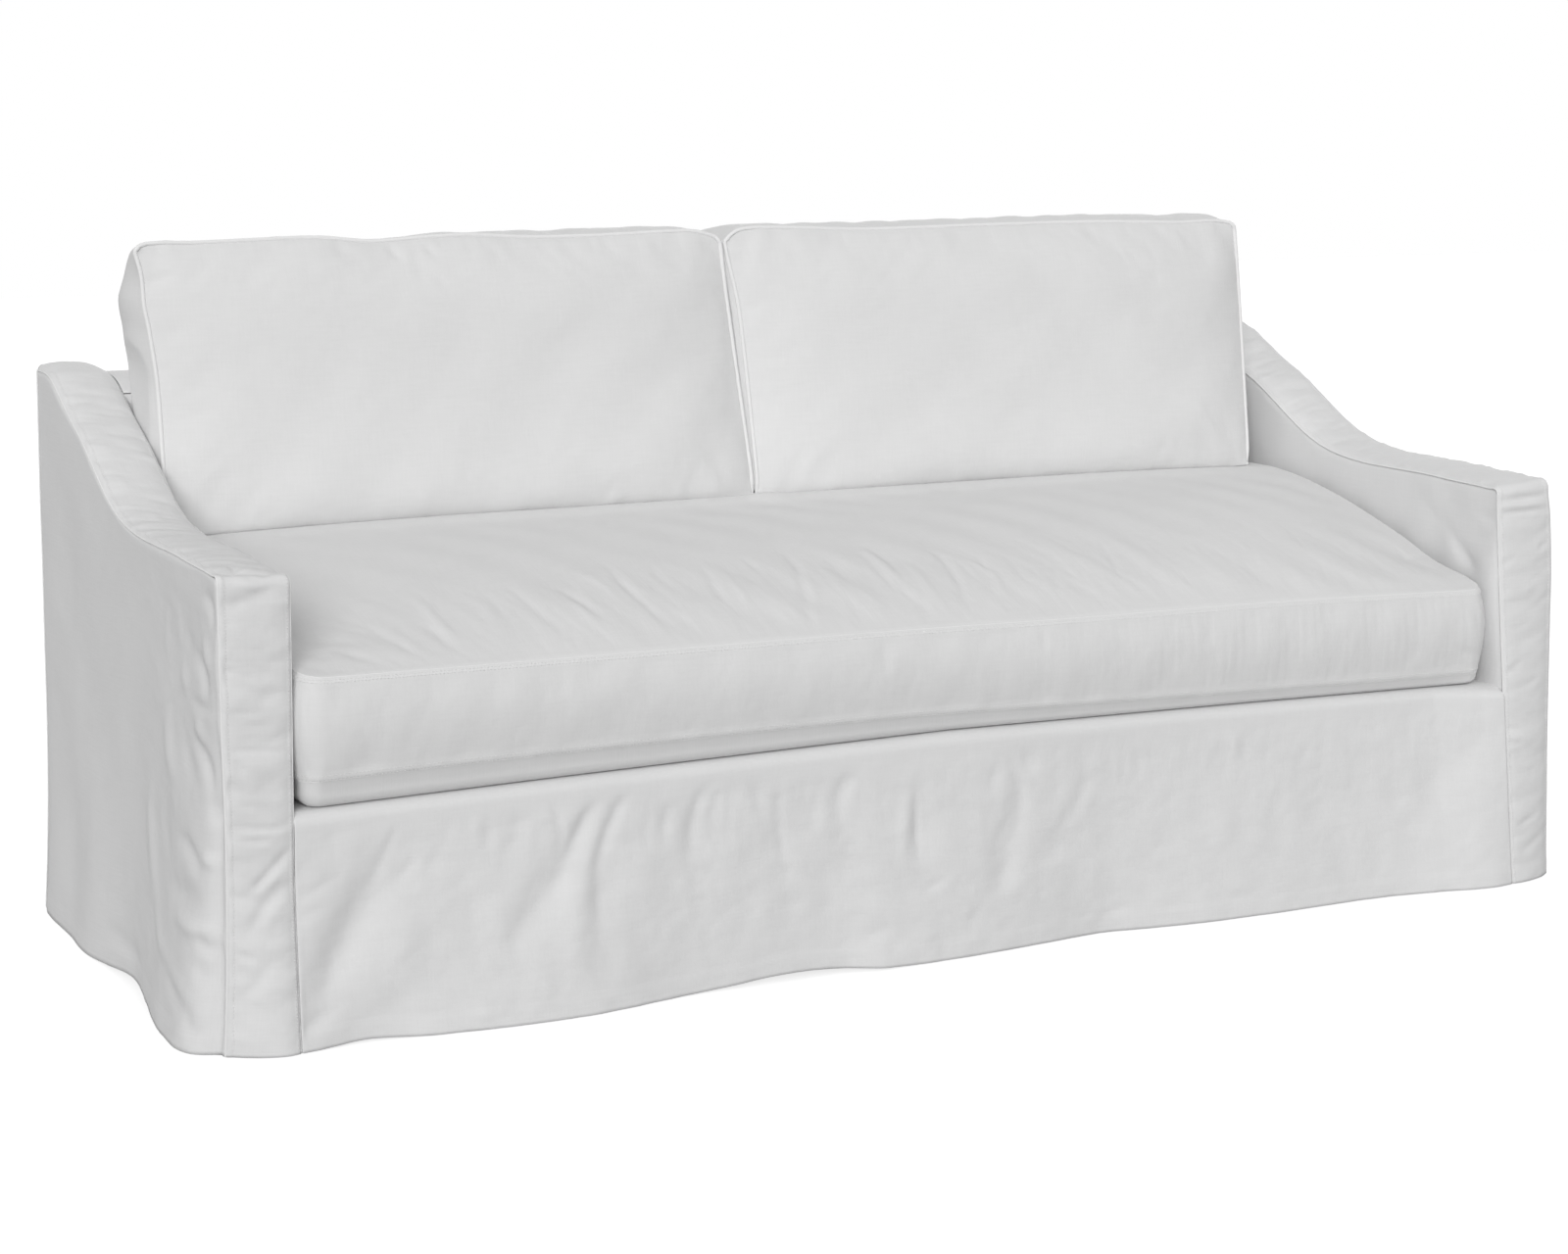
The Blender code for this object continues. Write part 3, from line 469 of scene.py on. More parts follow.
def tube(points, normals, radius, sides=6, closed=False):
    """Points, quads and cloth coordinates of a thin round tube; normals point away from the cloth."""
    if closed:
        tangent = unit(np.roll(points, -1, axis=0) - np.roll(points, 1, axis=0))
    else:
        tangent = unit(np.gradient(points, axis=0))
    up = unit(normals - tangent * (normals * tangent).sum(axis=1, keepdims=True))
    across = np.cross(tangent, up)
    turn = (np.arange(sides) + 0.5) * 2 * math.pi / sides
    ring = (points[:, None] + radius * (up[:, None] * np.cos(turn)[None, :, None]
                                        + across[:, None] * np.sin(turn)[None, :, None]))
    here = np.arange(len(points) if closed else len(points) - 1)[:, None] * sides
    there = ((here // sides + 1) % len(points)) * sides
    k = np.arange(sides)[None]
    after = (k + 1) % sides
    quads = np.stack((here + k, here + after, there + after, there + k), axis=2).reshape(-1, 4)
    uv = np.stack(np.broadcast_arrays(turn[None] * 0.001, lengths(points)[:, None]), axis=2)
    return ring.reshape(-1, 3), quads, uv.reshape(-1, 2)


def resample(points, normals, step):
    """The same line with points a step apart."""
    length = lengths(points)
    where = np.linspace(0.0, length[-1], max(2, int(round(length[-1] / step)) + 1))
    out, up = (np.stack([np.interp(where, length, values[:, k]) for k in range(3)], axis=1)
               for values in (points, normals))
    return out, unit(up)


def stitches(points, normals, pitch=0.0044, length=0.003, width=0.0012, height=0.0007):
    """Points, triangles and cloth coordinates of a row of stitches that lie on the cloth along a line."""
    centre, up = resample(points, normals, pitch)
    tangent = unit(np.gradient(centre, axis=0))
    across = np.cross(tangent, up)
    base = centre + up * 0.00005
    corners = np.stack([base + way for way in (
        -tangent * length / 2, tangent * length / 2, across * width / 2, -across * width / 2,
        up * height, -up * height)], axis=1)
    faces = np.array(((0, 2, 4), (2, 1, 4), (1, 3, 4), (3, 0, 4),
                      (2, 0, 5), (1, 2, 5), (3, 1, 5), (0, 3, 5)))
    if np.dot(np.cross(corners[0, 2] - corners[0, 0], corners[0, 4] - corners[0, 0]), up[0]) < 0:
        faces = faces[:, ::-1]
    faces = (np.arange(len(base))[:, None, None] * 6 + faces[None]).reshape(-1, 3)
    corners = corners.reshape(-1, 3)
    return corners, faces, corners[:, :2] * 0.2


SEWING = {}


def add_seam(group, points, normals, radius=0.0009, step=0.004, sink=0.0):
    line, up = resample(points, normals, step)
    SEWING.setdefault("seam_" + group, []).append(tube(line - up * sink, up, radius))


def add_stitches(group, points, normals, **options):
    SEWING.setdefault("stitching_" + group, []).append(stitches(points, normals, **options))


def finish_sewing():
    """Makes one piece of each panel's seams and one of its stitches."""
    for kind, material in (("seam_", PIPING), ("stitching_", THREAD)):
        for name, parts in SEWING.items():
            if name.startswith(kind):
                points, faces, uv = zip(*parts)
                offsets = np.cumsum([0] + [len(part) for part in points[:-1]])
                faces = [part + offset for part, offset in zip(faces, offsets)]
                make_piece(name, np.concatenate(points), np.concatenate(faces), np.concatenate(uv), material)


# ---- Panels ----

ARM_STEP = 0.004
ARM_FRONT_RUN = 0.59
BEND_STEPS = 7
ARM_ROWS = 112
PANEL_ROWS = 66
BACK_COLUMNS = 170
BACK_ROWS = 80
PANEL_SEAM = (0.0011, 0.006, 0.0004)


def arm_path(drop, top_step=ARM_STEP):
    """Points (y, z) and outward normals of a seam of the arm band, and where its top begins."""
    corner_z = ARM_HEIGHT - drop - CORNER_BEND
    count = int(round(ARM_FRONT_RUN / ARM_STEP))
    points = [(FRONT, corner_z * k / count) for k in range(count + 1)]
    normals = [(-1.0, 0.0)] * (count + 1)
    for step in range(1, BEND_STEPS + 1):
        turn = step / BEND_STEPS * math.pi / 2
        ny, nz = -math.cos(turn), math.sin(turn)
        points.append((FRONT + CORNER_BEND * (1 + ny), corner_z + CORNER_BEND * nz))
        normals.append((ny, nz))
    ys = np.linspace(FRONT + CORNER_BEND, BACK, int(round((DEPTH - CORNER_BEND) / top_step)) + 1)[1:]
    rise = (smooth(ARM_TOP, ys + 0.004) - smooth(ARM_TOP, ys - 0.004)) / 0.008
    length = np.hypot(1.0, rise)
    points = np.concatenate((points, np.stack((ys, smooth(ARM_TOP, ys) - drop), axis=1)))
    normals = np.concatenate((normals, np.stack((-rise / length, 1.0 / length), axis=1)))
    return points, normals, count


def seam_pull(distance, depth=0.0012, reach=0.004):
    """How far cloth sinks where it runs into a seam."""
    return depth * np.maximum(0.0, 1.0 - distance / reach) ** 2


def allowance(distance, width=0.009, height=0.0007):
    """The doubled cloth beside a top-stitched seam stands up a little."""
    return height * band(distance, 0.0, 0.003, width - 0.0015, width + 0.0015)


def hem_band(height, top=0.024):
    """The turned hem is a little thicker than the cloth above it."""
    return 0.0006 * (1 - ease(height, top - 0.0015, top + 0.0015))


# Folds of the outside arms: (y, z) of both ends, spread, height, bend
LEFT_ARM_FOLDS = creases(
    (-365, 577, -406, 543, 10.5, -5.4, 0.24), (-327, 499, -388, 447, 12.6, -6.8, 0.12),
    (-368, 525, -398, 481, 12.6, 5.4), (-323, 436, -400, 436, 7.5, -4.1), (-269, 476, -302, 443, 14.7, 4.1),
    (-328, 393, -397, 327, 12.6, -8.1, 0.16), (-397, 327, -403, 290, 12.6, -5.4),
    (-338, 421, -371, 384, 14.7, 5.4), (-290, 259, -380, 227, 12, -6.8, 0.06),
    (-378, 251, -408, 240, 7.5, 5.4), (-251, 187, -383, 194, 18, -5.4), (-303, 157, -407, 154, 10.5, 6.8),
    (-373, 147, -407, 132, 10.5, -5.4), (-127, 295, -172, 139, 21, 5.4, -0.11),
    (-172, 139, -352, 70, 15, 6.8, -0.09), (-210, 100, -362, 48, 13.5, -6.8),
    (-206, 406, -256, 318, 18.9, 5.4, -0.11), (-281, 392, -343, 335, 21, -5.4, -0.04),
    (-358, 44, -393, 19, 12, -4.1), (-372, 107, -407, 98, 13.5, -4.1), (76, 48, -99, 29, 15, -4.1),
    (221, 539, 232, 278, 20, 0.8), (232, 278, 205, 87, 20, 0.8), (-206, 543, -204, 472, 12.6, 2),
    (-255, 556, -264, 497, 12.6, 2), (-203, 295, -262, 205, 25.2, -4.1, -0.11),
    (-427, 595, -436, 570, 8.4, -2.7), (-290, 526, -315, 495, 16.8, -2.7),
)
RIGHT_ARM_FOLDS = creases(
    (-300, 520, -390, 420, 9, -3), (-260, 300, -390, 230, 10, -4), (-280, 340, -380, 290, 12, 3),
    (-180, 420, -230, 240, 16, 3), (-120, 180, -210, 60, 14, -4), (60, 300, 20, 90, 18, 3),
    (260, 420, 300, 200, 16, -3), (330, 240, 395, 120, 10, -3), (340, 560, 400, 500, 9, -2.5),
)
# Folds of the arm bands: (run from the hem, distance from the outer seam) of both ends
LEFT_BAND_FOLDS = creases(
    (578, 18, 584, 69, 8, -2), (570, 10, 577, 34, 6, -1.2), (552, 9, 549, 19, 4, -1.2),
    (492, 6, 487, 17, 3, -2), (450, 41, 462, 81, 10, -2), (440, 10, 435, 53, 4, -1.5),
    (390, 12, 386, 80, 3, -2), (377, 14, 360, 30, 6, -2), (346, 43, 324, 73, 8, -1.5),
    (297, 11, 291, 88, 4, -2.5, -0.07), (279, 11, 276, 63, 4, -2.5, -0.07), (285, 25, 281, 86, 4, 1.2),
    (261, 85, 211, 29, 7, -5, 0.05), (241, 74, 216, 47, 8, 3), (219, 79, 153, 24, 10, -4, -0.04),
    (118, 51, 74, 12, 10, -3, 0.1), (135, 6, 123, 38, 6, -2), (113, 5, 98, 36, 8, -1.2),
    (420, 17, 420, 74, 6, -1), (321, 19, 314, 70, 6, -1), (180, 38, 194, 75, 10, 1.5),
    (649, 31, 614, 10, 5, -4, 0.25), (614, 7, 614, 75, 5, -4), (692, 37, 654, 52, 8, 3),
    (651, 8, 614, -1, 5, -2), (1040, 40, 975, 54, 6, 1), (640, 60, 612, 30, 5, 2.5),
    (628, 82, 606, 55, 5, -2.5), (600, 20, 592, 62, 5, 2), (596, 84, 588, 40, 5, -1.5),
)
RIGHT_BAND_FOLDS = creases(
    (588, 96, 586, 8, 4, -3.5), (568, 96, 565, 11, 4, -3), (578, 95, 574, 11, 5, 2),
    (504, 28, 513, 11, 5, -2), (487, 94, 499, 63, 5, -1), (342, 58, 320, 92, 6, -1.5),
    (427, 91, 429, 56, 5, -1), (239, 99, 232, 67, 4, -1.5), (217, 100, 211, 63, 4, -2),
    (174, 99, 163, 25, 5, -1), (103, 31, 84, 84, 6, -2), (64, 27, 42, 79, 6, -2), (389, 84, 397, 38, 6, -1),
    (292, 78, 308, 25, 7, -1.2), (58, 108, 46, 79, 5, -1),
)
# Folds of the right inside arm: (y, z) of both ends
INSIDE_RIGHT_FOLDS = creases(
    (-293, 550, -398, 452, 13, -3.2, -0.06), (-317, 514, -365, 470, 8, -1.6),
    (-374, 559, -416, 551, 7, -1.5), (-359, 520, -405, 521, 7, -1), (-240, 570, -289, 522, 12, -1.5),
    (-330, 480, -300, 560, 16, 1.8),
)
# Folds of the apron and of the outside back: (x, z) of both ends
APRON_CREASES = creases(
    (-822, 272, -944, 23, 26, -12), (-790, 200, -850, 40, 35, 5), (-533, 280, -654, 118, 26, -10),
    (-570, 220, -590, 60, 26, 6), (-536, 231, -537, 110, 24, -7), (-391, 276, -402, 175, 24, -6),
    (-268, 277, -268, 159, 24, -6), (-57, 234, -56, 135, 24, -7), (102, 242, 69, 86, 30, -6),
    (168, 163, 168, 109, 28, -3), (600, 240, 640, 110, 40, -4), (960, 290, 800, 120, 35, -6),
)
APRON_FOLDS = creases(
    (-823, 270, -849, 212, 7, -3.5), (-906, 48, -958, 25, 10, -4), (-948, 194, -901, 216, 7, -2),
    (-958, 166, -922, 181, 8, -1.5), (-926, 266, -861, 280, 8, -1.2), (-830, 193, -796, 229, 8, -2),
    (-783, 207, -763, 238, 9, -1.8), (-705, 280, -701, 226, 9, -2.5, -0.11), (-651, 275, -668, 213, 14, -3),
    (-539, 285, -593, 195, 10, -6, 0.01), (-593, 195, -605, 158, 12, -3),
    (-618, 293, -596, 217, 6, -3, -0.1), (-495, 289, -547, 183, 10, -6, 0.05),
    (-547, 183, -548, 113, 11, -3), (-537, 246, -565, 185, 12, 3), (-440, 264, -449, 203, 9, -3.5),
    (-640, 150, -684, 86, 16, -3), (-472, 252, -478, 201, 10, -1.5), (-381, 285, -408, 179, 10, -4.5, 0.08),
    (-408, 179, -399, 118, 10, -2), (-360, 273, -378, 232, 7, -2), (-317, 286, -294, 226, 10, -3.5),
    (-274, 275, -260, 135, 8, -3, 0.03), (-237, 247, -207, 200, 10, -1.5),
    (-158, 272, -181, 200, 12, -5, 0.17), (-207, 237, -204, 182, 12, 2), (-155, 188, -119, 172, 6, -1),
    (-62, 243, -60, 145, 6, -4), (-78, 231, -86, 144, 10, 3), (-60, 97, -20, 113, 8, -3),
    (56, 223, 69, 264, 9, -1.8), (90, 273, 99, 150, 11, -4, -0.12), (99, 150, 52, 79, 14, -2.5, -0.1),
    (81, 246, 75, 166, 11, 2.5), (114, 277, 130, 241, 6, -2.2), (122, 279, 140, 249, 5, -1.5),
    (213, 267, 163, 153, 11, -2.8, -0.19), (188, 228, 171, 176, 11, 2), (163, 153, 171, 113, 12, -1.5),
    (35, 61, 13, 43, 10, -2), (-145, 42, -108, 59, 12, -3), (304, 261, 312, 218, 7, -1.5),
    (474, 271, 472, 231, 7, 2), (491, 255, 493, 225, 6, -2), (388, 268, 391, 246, 6, -1),
    (529, 245, 524, 219, 6, -1), (605, 240, 593, 215, 6, -1), (541, 193, 531, 168, 6, 1),
    (690, 269, 717, 244, 6, -1.5), (447, 31, 485, 34, 8, -2), (241, 22, 299, 38, 6, -1.5),
    (871, 302, 923, 285, 6, -3), (884, 84, 927, 29, 6, 1.5),
)
BACK_FOLDS = creases(
    (-900, 700, -640, 120, 40, 5), (-560, 720, -500, 200, 35, -5), (-250, 700, -330, 90, 45, 5),
    (60, 720, 20, 160, 38, -5), (380, 700, 440, 100, 42, 5), (700, 720, 640, 220, 36, -4),
    (930, 660, 900, 80, 34, 5), (-1000, 420, -960, 60, 26, -5), (1010, 560, 980, 200, 24, -4),
)


def outside_arm(name, side, lifts, fold_rows):
    points, normals, count = arm_path(0.0)
    tops = points[count:] - normals[count:] * SEAM_STEP
    order = np.arange(len(tops))
    tops = tops[(tops[:, 0] < -0.1) | (order % 2 == 0) | (order == len(tops) - 1)]
    y, top = tops.T[:, None]
    y, z = np.broadcast_arrays(y, np.linspace(0.0, 1.0, ARM_ROWS)[:, None] * top)
    x = ARM_OUT + side_out(side, y, z)
    shifted = np.minimum(y - front_out(side * x, z) * near_front(y), BACK - SEAM_STEP)
    border = least(y - y[:, :1], top - z, BACK - SEAM_STEP - shifted)
    uneven = 0.0009 - 0.0005 * ease(y, -0.3, 0.0)
    x = x + ease(border, 0.0, 0.008) * (
        0.72 * folds(y, z, fold_rows) + 0.0016 * ripple(y, z, 11 + side, 0.3, 0.4)
        + uneven * crumple(y, z, 31 + side, 0.075, 0.055))
    x = x - seam_pull(border) + hem_band(z)
    cloth_piece(name, grid(side * x, shifted, z + lift(lifts, y, z, top)), (side, 0, 0))


def arm_band(name, side, fold_rows):
    """The strip up the arm's front and along its top."""
    outer, outer_normals, _ = arm_path(0.0)
    inner, inner_normals, _ = arm_path(INNER_DROP)
    share = spaced(0.0, ARM_WIDTH, 0.0038, BAND_COLUMNS)[None] / ARM_WIDTH
    y, z = outer[:, :1], outer[:, 1:]
    start = grid(side * (ARM_OUT + side_out(side, y, z)), y, z)
    end = grid(side * ARM_IN, inner[:, :1], inner[:, 1:])
    spot = start + share[..., None] * (end - start)
    blend = outer_normals[:, None] + share[..., None] * (inner_normals - outer_normals)[:, None]
    normal = grid(0.0, blend[..., 0], blend[..., 1])
    crown = smooth(BAND_CROWNS, y) * (1 - np.abs(2 * share - 1) ** 3)
    forward = front_out(spot[..., 0], spot[..., 2]) * -normal[..., 1]
    spot = spot + normal * crown[..., None]
    spot[..., 1] -= forward
    run, across = np.broadcast_arrays(lengths(outer)[:, None], share * ARM_WIDTH)
    far = ARM_WIDTH - across
    border = np.minimum(across, far)
    on_top = ease(run, 0.6, 0.66)
    puckers = band(border, 0.0, 0.004, 0.008, 0.026)
    bump = ease(border, 0.0, 0.006) * (
        folds(run, across, fold_rows) + 0.0008 * ripple(run, across, 51 + side, 0.06, 0.25)
        + 0.0008 * crumple(run + 0.25 * across, across, 71 + side, 0.03, 0.1)
        + 0.0004 * crumple(run, across, 101 + side, 0.012, 0.018, 2)
        + 0.0006 * puckers * crumple(run, across, 111 + side, 0.012, 0.05, 1)
        + 0.0008 * on_top * crumple(run + 0.3 * across, across, 81 + side, 0.013, 0.075, 2))
    tucks = sum(np.exp(-((run - 0.606) / 0.012) ** 2 - (edge / 0.01) ** 2) for edge in (across, far))
    bump = (bump + 0.0026 * tucks - seam_pull(border) - seam_pull(far, 0.0024, 0.016) + hem_band(spot[..., 2])
            + allowance(across) + allowance(far, 0.006)
            - 0.0005 * np.exp(-((across - BAND_STITCHES[0]) / 0.0014) ** 2))
    face = spot + normal * bump[..., None]
    face[..., 0] -= side * seam_pull(across, 0.001)
    cloth_piece(name, face, (0, -0.5, 0.5))
    up = normals_of(face, (0, -0.5, 0.5))
    for column in (0, -1):
        add_seam(name, face[:, column], up[:, column], 0.0012, 0.004, 0.0003)
    for place in BAND_STITCHES:
        column = int(np.argmin(np.abs(across[0] - place)))
        add_stitches(name, face[2:, column], up[2:, column])


def inside_arm(name, side, fold_rows):
    points, normals, count = arm_path(INNER_DROP, 0.008)
    tops = points[count:] - normals[count:] * SEAM_STEP
    tops = tops[tops[:, 0] <= BACK_EDGE_Y + 0.0005]
    low = deck_z(side * ARM_IN) - PANEL_TUCK
    shares = np.linspace(0.0, 1.0, PANEL_ROWS)[:, None]
    y, top = tops.T[:, None]
    y, z = np.broadcast_arrays(y, low + shares * (top - low))
    order = np.linspace(0.0, 1.0, y.shape[1])[None]
    end_shift = inside_back_y(low + shares * (tops[-1, 1] - low)) + 0.002 - tops[-1, 0]
    moved = y + end_shift * order ** 2 - front_out(side * ARM_IN, z) * near_front(y)
    border = least(y - y[:, :1], top - z, 1.0)
    bump = ease(border, 0.0, 0.015) * (0.001 * ripple(y, z, 91 + side, 0.14, 0.22) + folds(y, z, fold_rows))
    pressed = 0.0085 * np.exp(-((y + 0.39) / 0.032) ** 2 - ((z - 0.4) / 0.1) ** 2)
    bump = np.minimum(bump, 0.002) + pressed * ease(border, 0.0, 0.012)
    x = side * (ARM_IN - bump + seam_pull(border, 0.0006) + seam_pull(border, 0.002, 0.016))
    cloth_piece(name, grid(x, moved, z), (-side, 0, 0))


def front_apron():
    columns = spaced(-ARM_IN + GAP, ARM_IN - GAP, 0.005)[None]
    rail = deck_z(columns) - RAIL_BEND
    shares = np.linspace(0.0, 1.0, PANEL_ROWS)[:, None]
    x, z = np.broadcast_arrays(columns, shares * rail)
    border = edges(x, x[:, :1], x[:, -1:])
    wide = np.sin(np.pi * np.minimum(1.0, shares + 0.1))
    near_rail = 1 - ease(shares, 0.9, 1.0)
    small = (0.0007 * crumple(x, z, 6, 0.055, 0.04)
             + 0.0005 * crumple(x + 0.5 * z, z, 8, 0.016, 0.03, 2)
             * ease(crumple(x, z, 9, 0.2, 0.15, 1), -0.1, 0.7)
             + 0.00025 * crumple(x, z, 10, 0.013, 0.022, 2)
             + 0.0004 * ease(shares, 0.5, 0.85) * crumple(x, z, 12, 0.014, 0.09, 2))
    detail = (folds(x, z, APRON_CREASES) * wide + 0.8 * folds(x, z, APRON_FOLDS) * near_rail
              + 0.0012 * ripple(x, z, 5, 0.09, 0.22) * wide + small * near_rail)
    out = front_out(x, z) + ease(border, 0.0, 0.008) * detail - seam_pull(border, 0.0004) + hem_band(z)
    turn = np.linspace(0.0, math.pi / 2, 9)[1:, None]
    face = np.concatenate((
        grid(x, FRONT - out, z + lift(FRONT_LIFTS, x, z, rail)),
        grid(columns, FRONT + RAIL_BEND * (1 - np.cos(turn)) - out[-1] * np.cos(turn),
             rail + RAIL_BEND * np.sin(turn)),
        grid(columns, np.linspace(FRONT + RAIL_BEND, APRON_BACK, 7)[1:, None], deck_z(columns))))
    cloth_piece("front_apron", face, (0, -1, 0.3))


def deck():
    x = np.linspace(-ARM_IN + GAP, ARM_IN - GAP, 60)[None]
    z = deck_z(x)
    start, end = APRON_BACK + GAP, inside_back_y(z - 0.002) - GAP
    y = start + np.linspace(0.0, 1.0, 18)[:, None] * (end - start)
    cloth_piece("deck", grid(x, y, z), (0, 0, 1))


def inside_back():
    x = np.linspace(-ARM_IN + GAP, ARM_IN - GAP, 70)[None]
    low = deck_z(0.0) - PANEL_TUCK - 0.01
    z = (low + np.linspace(0.0, 1.0, 24) * (BACK_EDGE_Z - SEAM_STEP - low))[:, None]
    cloth_piece("inside_back", grid(x, inside_back_y(z), z), (0, -1, 0))


def back_top():
    points, normals, _ = arm_path(INNER_DROP)
    chosen = points[:, 0] >= BACK_EDGE_Y - GAP
    points, normals = points[chosen], normals[chosen]
    x, run = np.broadcast_arrays(spaced(-ARM_IN + GAP, ARM_IN - GAP, 0.0085)[None], points[:, :1])
    border = np.minimum(edges(run, run[:1], run[-1:]), edges(x, x[:, :1], x[:, -1:]))
    bump = 0.0008 * ripple(x, run, 17, 0.12, 0.08) * ease(border, 0.0, 0.015) - seam_pull(border)
    face = grid(x, run + normals[:, :1] * bump, points[:, 1:] + normals[:, 1:] * bump)
    cloth_piece("back_top", face, (0, 0, 1))
    up = normals_of(face, (0, 0, 1))
    for row in (0, -1):
        add_seam("back_top", face[row], up[row], *PANEL_SEAM)
    add_stitches("back_top", face[-3], up[-3])


def outside_back():
    outer_z, inner_z = (arm_path(drop)[0][-1, 1] for drop in (0.0, INNER_DROP))
    width = np.linspace(0.0, 1.0, 16)[:, None]
    ends = []
    for side in (-1, 1):
        start = np.array((side * (ARM_OUT + side_out(side, BACK, outer_z)), outer_z))
        spots = start + width * (np.array((side * ARM_IN, inner_z)) - start)
        spots[:, 1:] += smooth(BAND_CROWNS, BACK) * (1 - np.abs(2 * width - 1) ** 3)
        ends.append(spots)
    middle = np.stack((np.linspace(-ARM_IN, ARM_IN, BACK_COLUMNS), np.full(BACK_COLUMNS, inner_z)), axis=1)
    x, top = np.concatenate((ends[0], middle[1:-1], ends[1][::-1])).T[:, None]
    x, z = np.broadcast_arrays(x, np.linspace(0.0, 1.0, BACK_ROWS)[:, None] * (top - SEAM_STEP))
    left, right = (side_out(side, BACK, z) - side_out(side, BACK, top) for side in (-1, 1))
    part = np.maximum(0.0, (np.abs(x) - ARM_IN) / ARM_WIDTH)
    border = least(x - x[:, :1], x[:, -1:] - x, top - z)
    detail = (folds(x, z, BACK_FOLDS) + 0.0022 * ripple(x, z, 23, 0.3, 0.6)
              + 0.0006 * ripple(x, z, 24, 0.08, 0.12))
    y = BACK + back_out(x, z) + ease(border, 0.0, 0.03) * detail - seam_pull(border) + hem_band(z)
    face = grid(x + part * np.where(x < 0, -left, right), y, z)
    cloth_piece("outside_back", face, (0, 1, 0))
    up = normals_of(face, (0, 1, 0))
    for column in (0, -1):
        add_seam("outside_back", face[:, column], up[:, column], *PANEL_SEAM)


# ---- The cushions ----

CUT_LARGER = 0.008
PRESSURE = 1.5
FRAMES = 12


def round_corners(a, b, a_low, a_high, b_low, b_high, radius):
    """A rectangle's grid with its corners rounded."""
    a_end = np.where(a - a_low < a_high - a, a_low, a_high)
    b_end = np.where(b - b_low < b_high - b, b_low, b_high)
    u = np.maximum(0.0, 1.0 - np.abs(a - a_end) / radius)
    v = np.maximum(0.0, 1.0 - np.abs(b - b_end) / radius)
    new_a = a + np.sign((a_low + a_high) / 2 - a_end) * (u - u * np.sqrt(1.0 - v * v / 2)) * radius
    new_b = b + np.sign((b_low + b_high) / 2 - b_end) * (v - v * np.sqrt(1.0 - u * u / 2)) * radius
    return new_a, new_b


def settled(points, quads, held, bending):
    """Cloth simulation of a stuffed cover that is cut larger than its filling, with its seams held."""
    scene = bpy.context.scene
    mesh = bpy.data.meshes.new("settling")
    mesh.from_pydata(points.tolist(), [], quads.tolist())
    cover = add_object("settling", mesh)
    cover.vertex_groups.new(name="held").add(np.nonzero(held)[0].tolist(), 1.0, "REPLACE")
    cloth = cover.modifiers.new("cloth", "CLOTH")
    for key, value in dict(quality=4, mass=0.15, tension_stiffness=15.0, compression_stiffness=15.0,
                           shear_stiffness=5.0, bending_stiffness=bending, use_pressure=True,
                           uniform_pressure_force=PRESSURE, shrink_min=-CUT_LARGER,
                           vertex_group_mass="held").items():
        setattr(cloth.settings, key, value)
    cloth.settings.effector_weights.gravity = 0.0
    cloth.collision_settings.use_collision = False
    cloth.point_cache.frame_start = 1
    cloth.point_cache.frame_end = FRAMES
    for moment in range(1, FRAMES + 1):
        scene.frame_set(moment)
    shaped = cover.evaluated_get(bpy.context.evaluated_depsgraph_get())
    result = shaped.to_mesh()
    places = np.empty(len(result.vertices) * 3, np.float32)
    result.vertices.foreach_get("co", places)
    shaped.to_mesh_clear()
    bpy.data.objects.remove(cover)
    bpy.data.meshes.remove(mesh)
    scene.frame_set(1)
    return places.reshape(-1, 3).astype(float)


def blurred(field, reach, wrap=False):
    """A grid of vectors averaged over reach cells each way, around the ring where it wraps."""
    for axis in (0, 1, 0, 1):
        count = field.shape[axis]
        span = min(reach, count // 4)
        pads = [(span + 1, span) if k == axis else (0, 0) for k in range(3)]
        total = np.cumsum(np.pad(field, pads, mode="wrap" if wrap and axis == 1 else "edge"), axis=axis)
        field = (np.take(total, np.arange(count) + 2 * span + 1, axis)
                 - np.take(total, np.arange(count), axis)) / (2 * span + 1)
    return field


def wrinkles(moved, wrap=False, cap=0.007):
    """Keeps the creases in a grid's movement, takes out its swelling, and caps what is left."""
    left = moved - 0.92 * blurred(moved, 9, wrap)
    length = np.maximum(np.linalg.norm(left, axis=2, keepdims=True), 1e-9)
    return left * cap * np.tanh(length / cap) / length


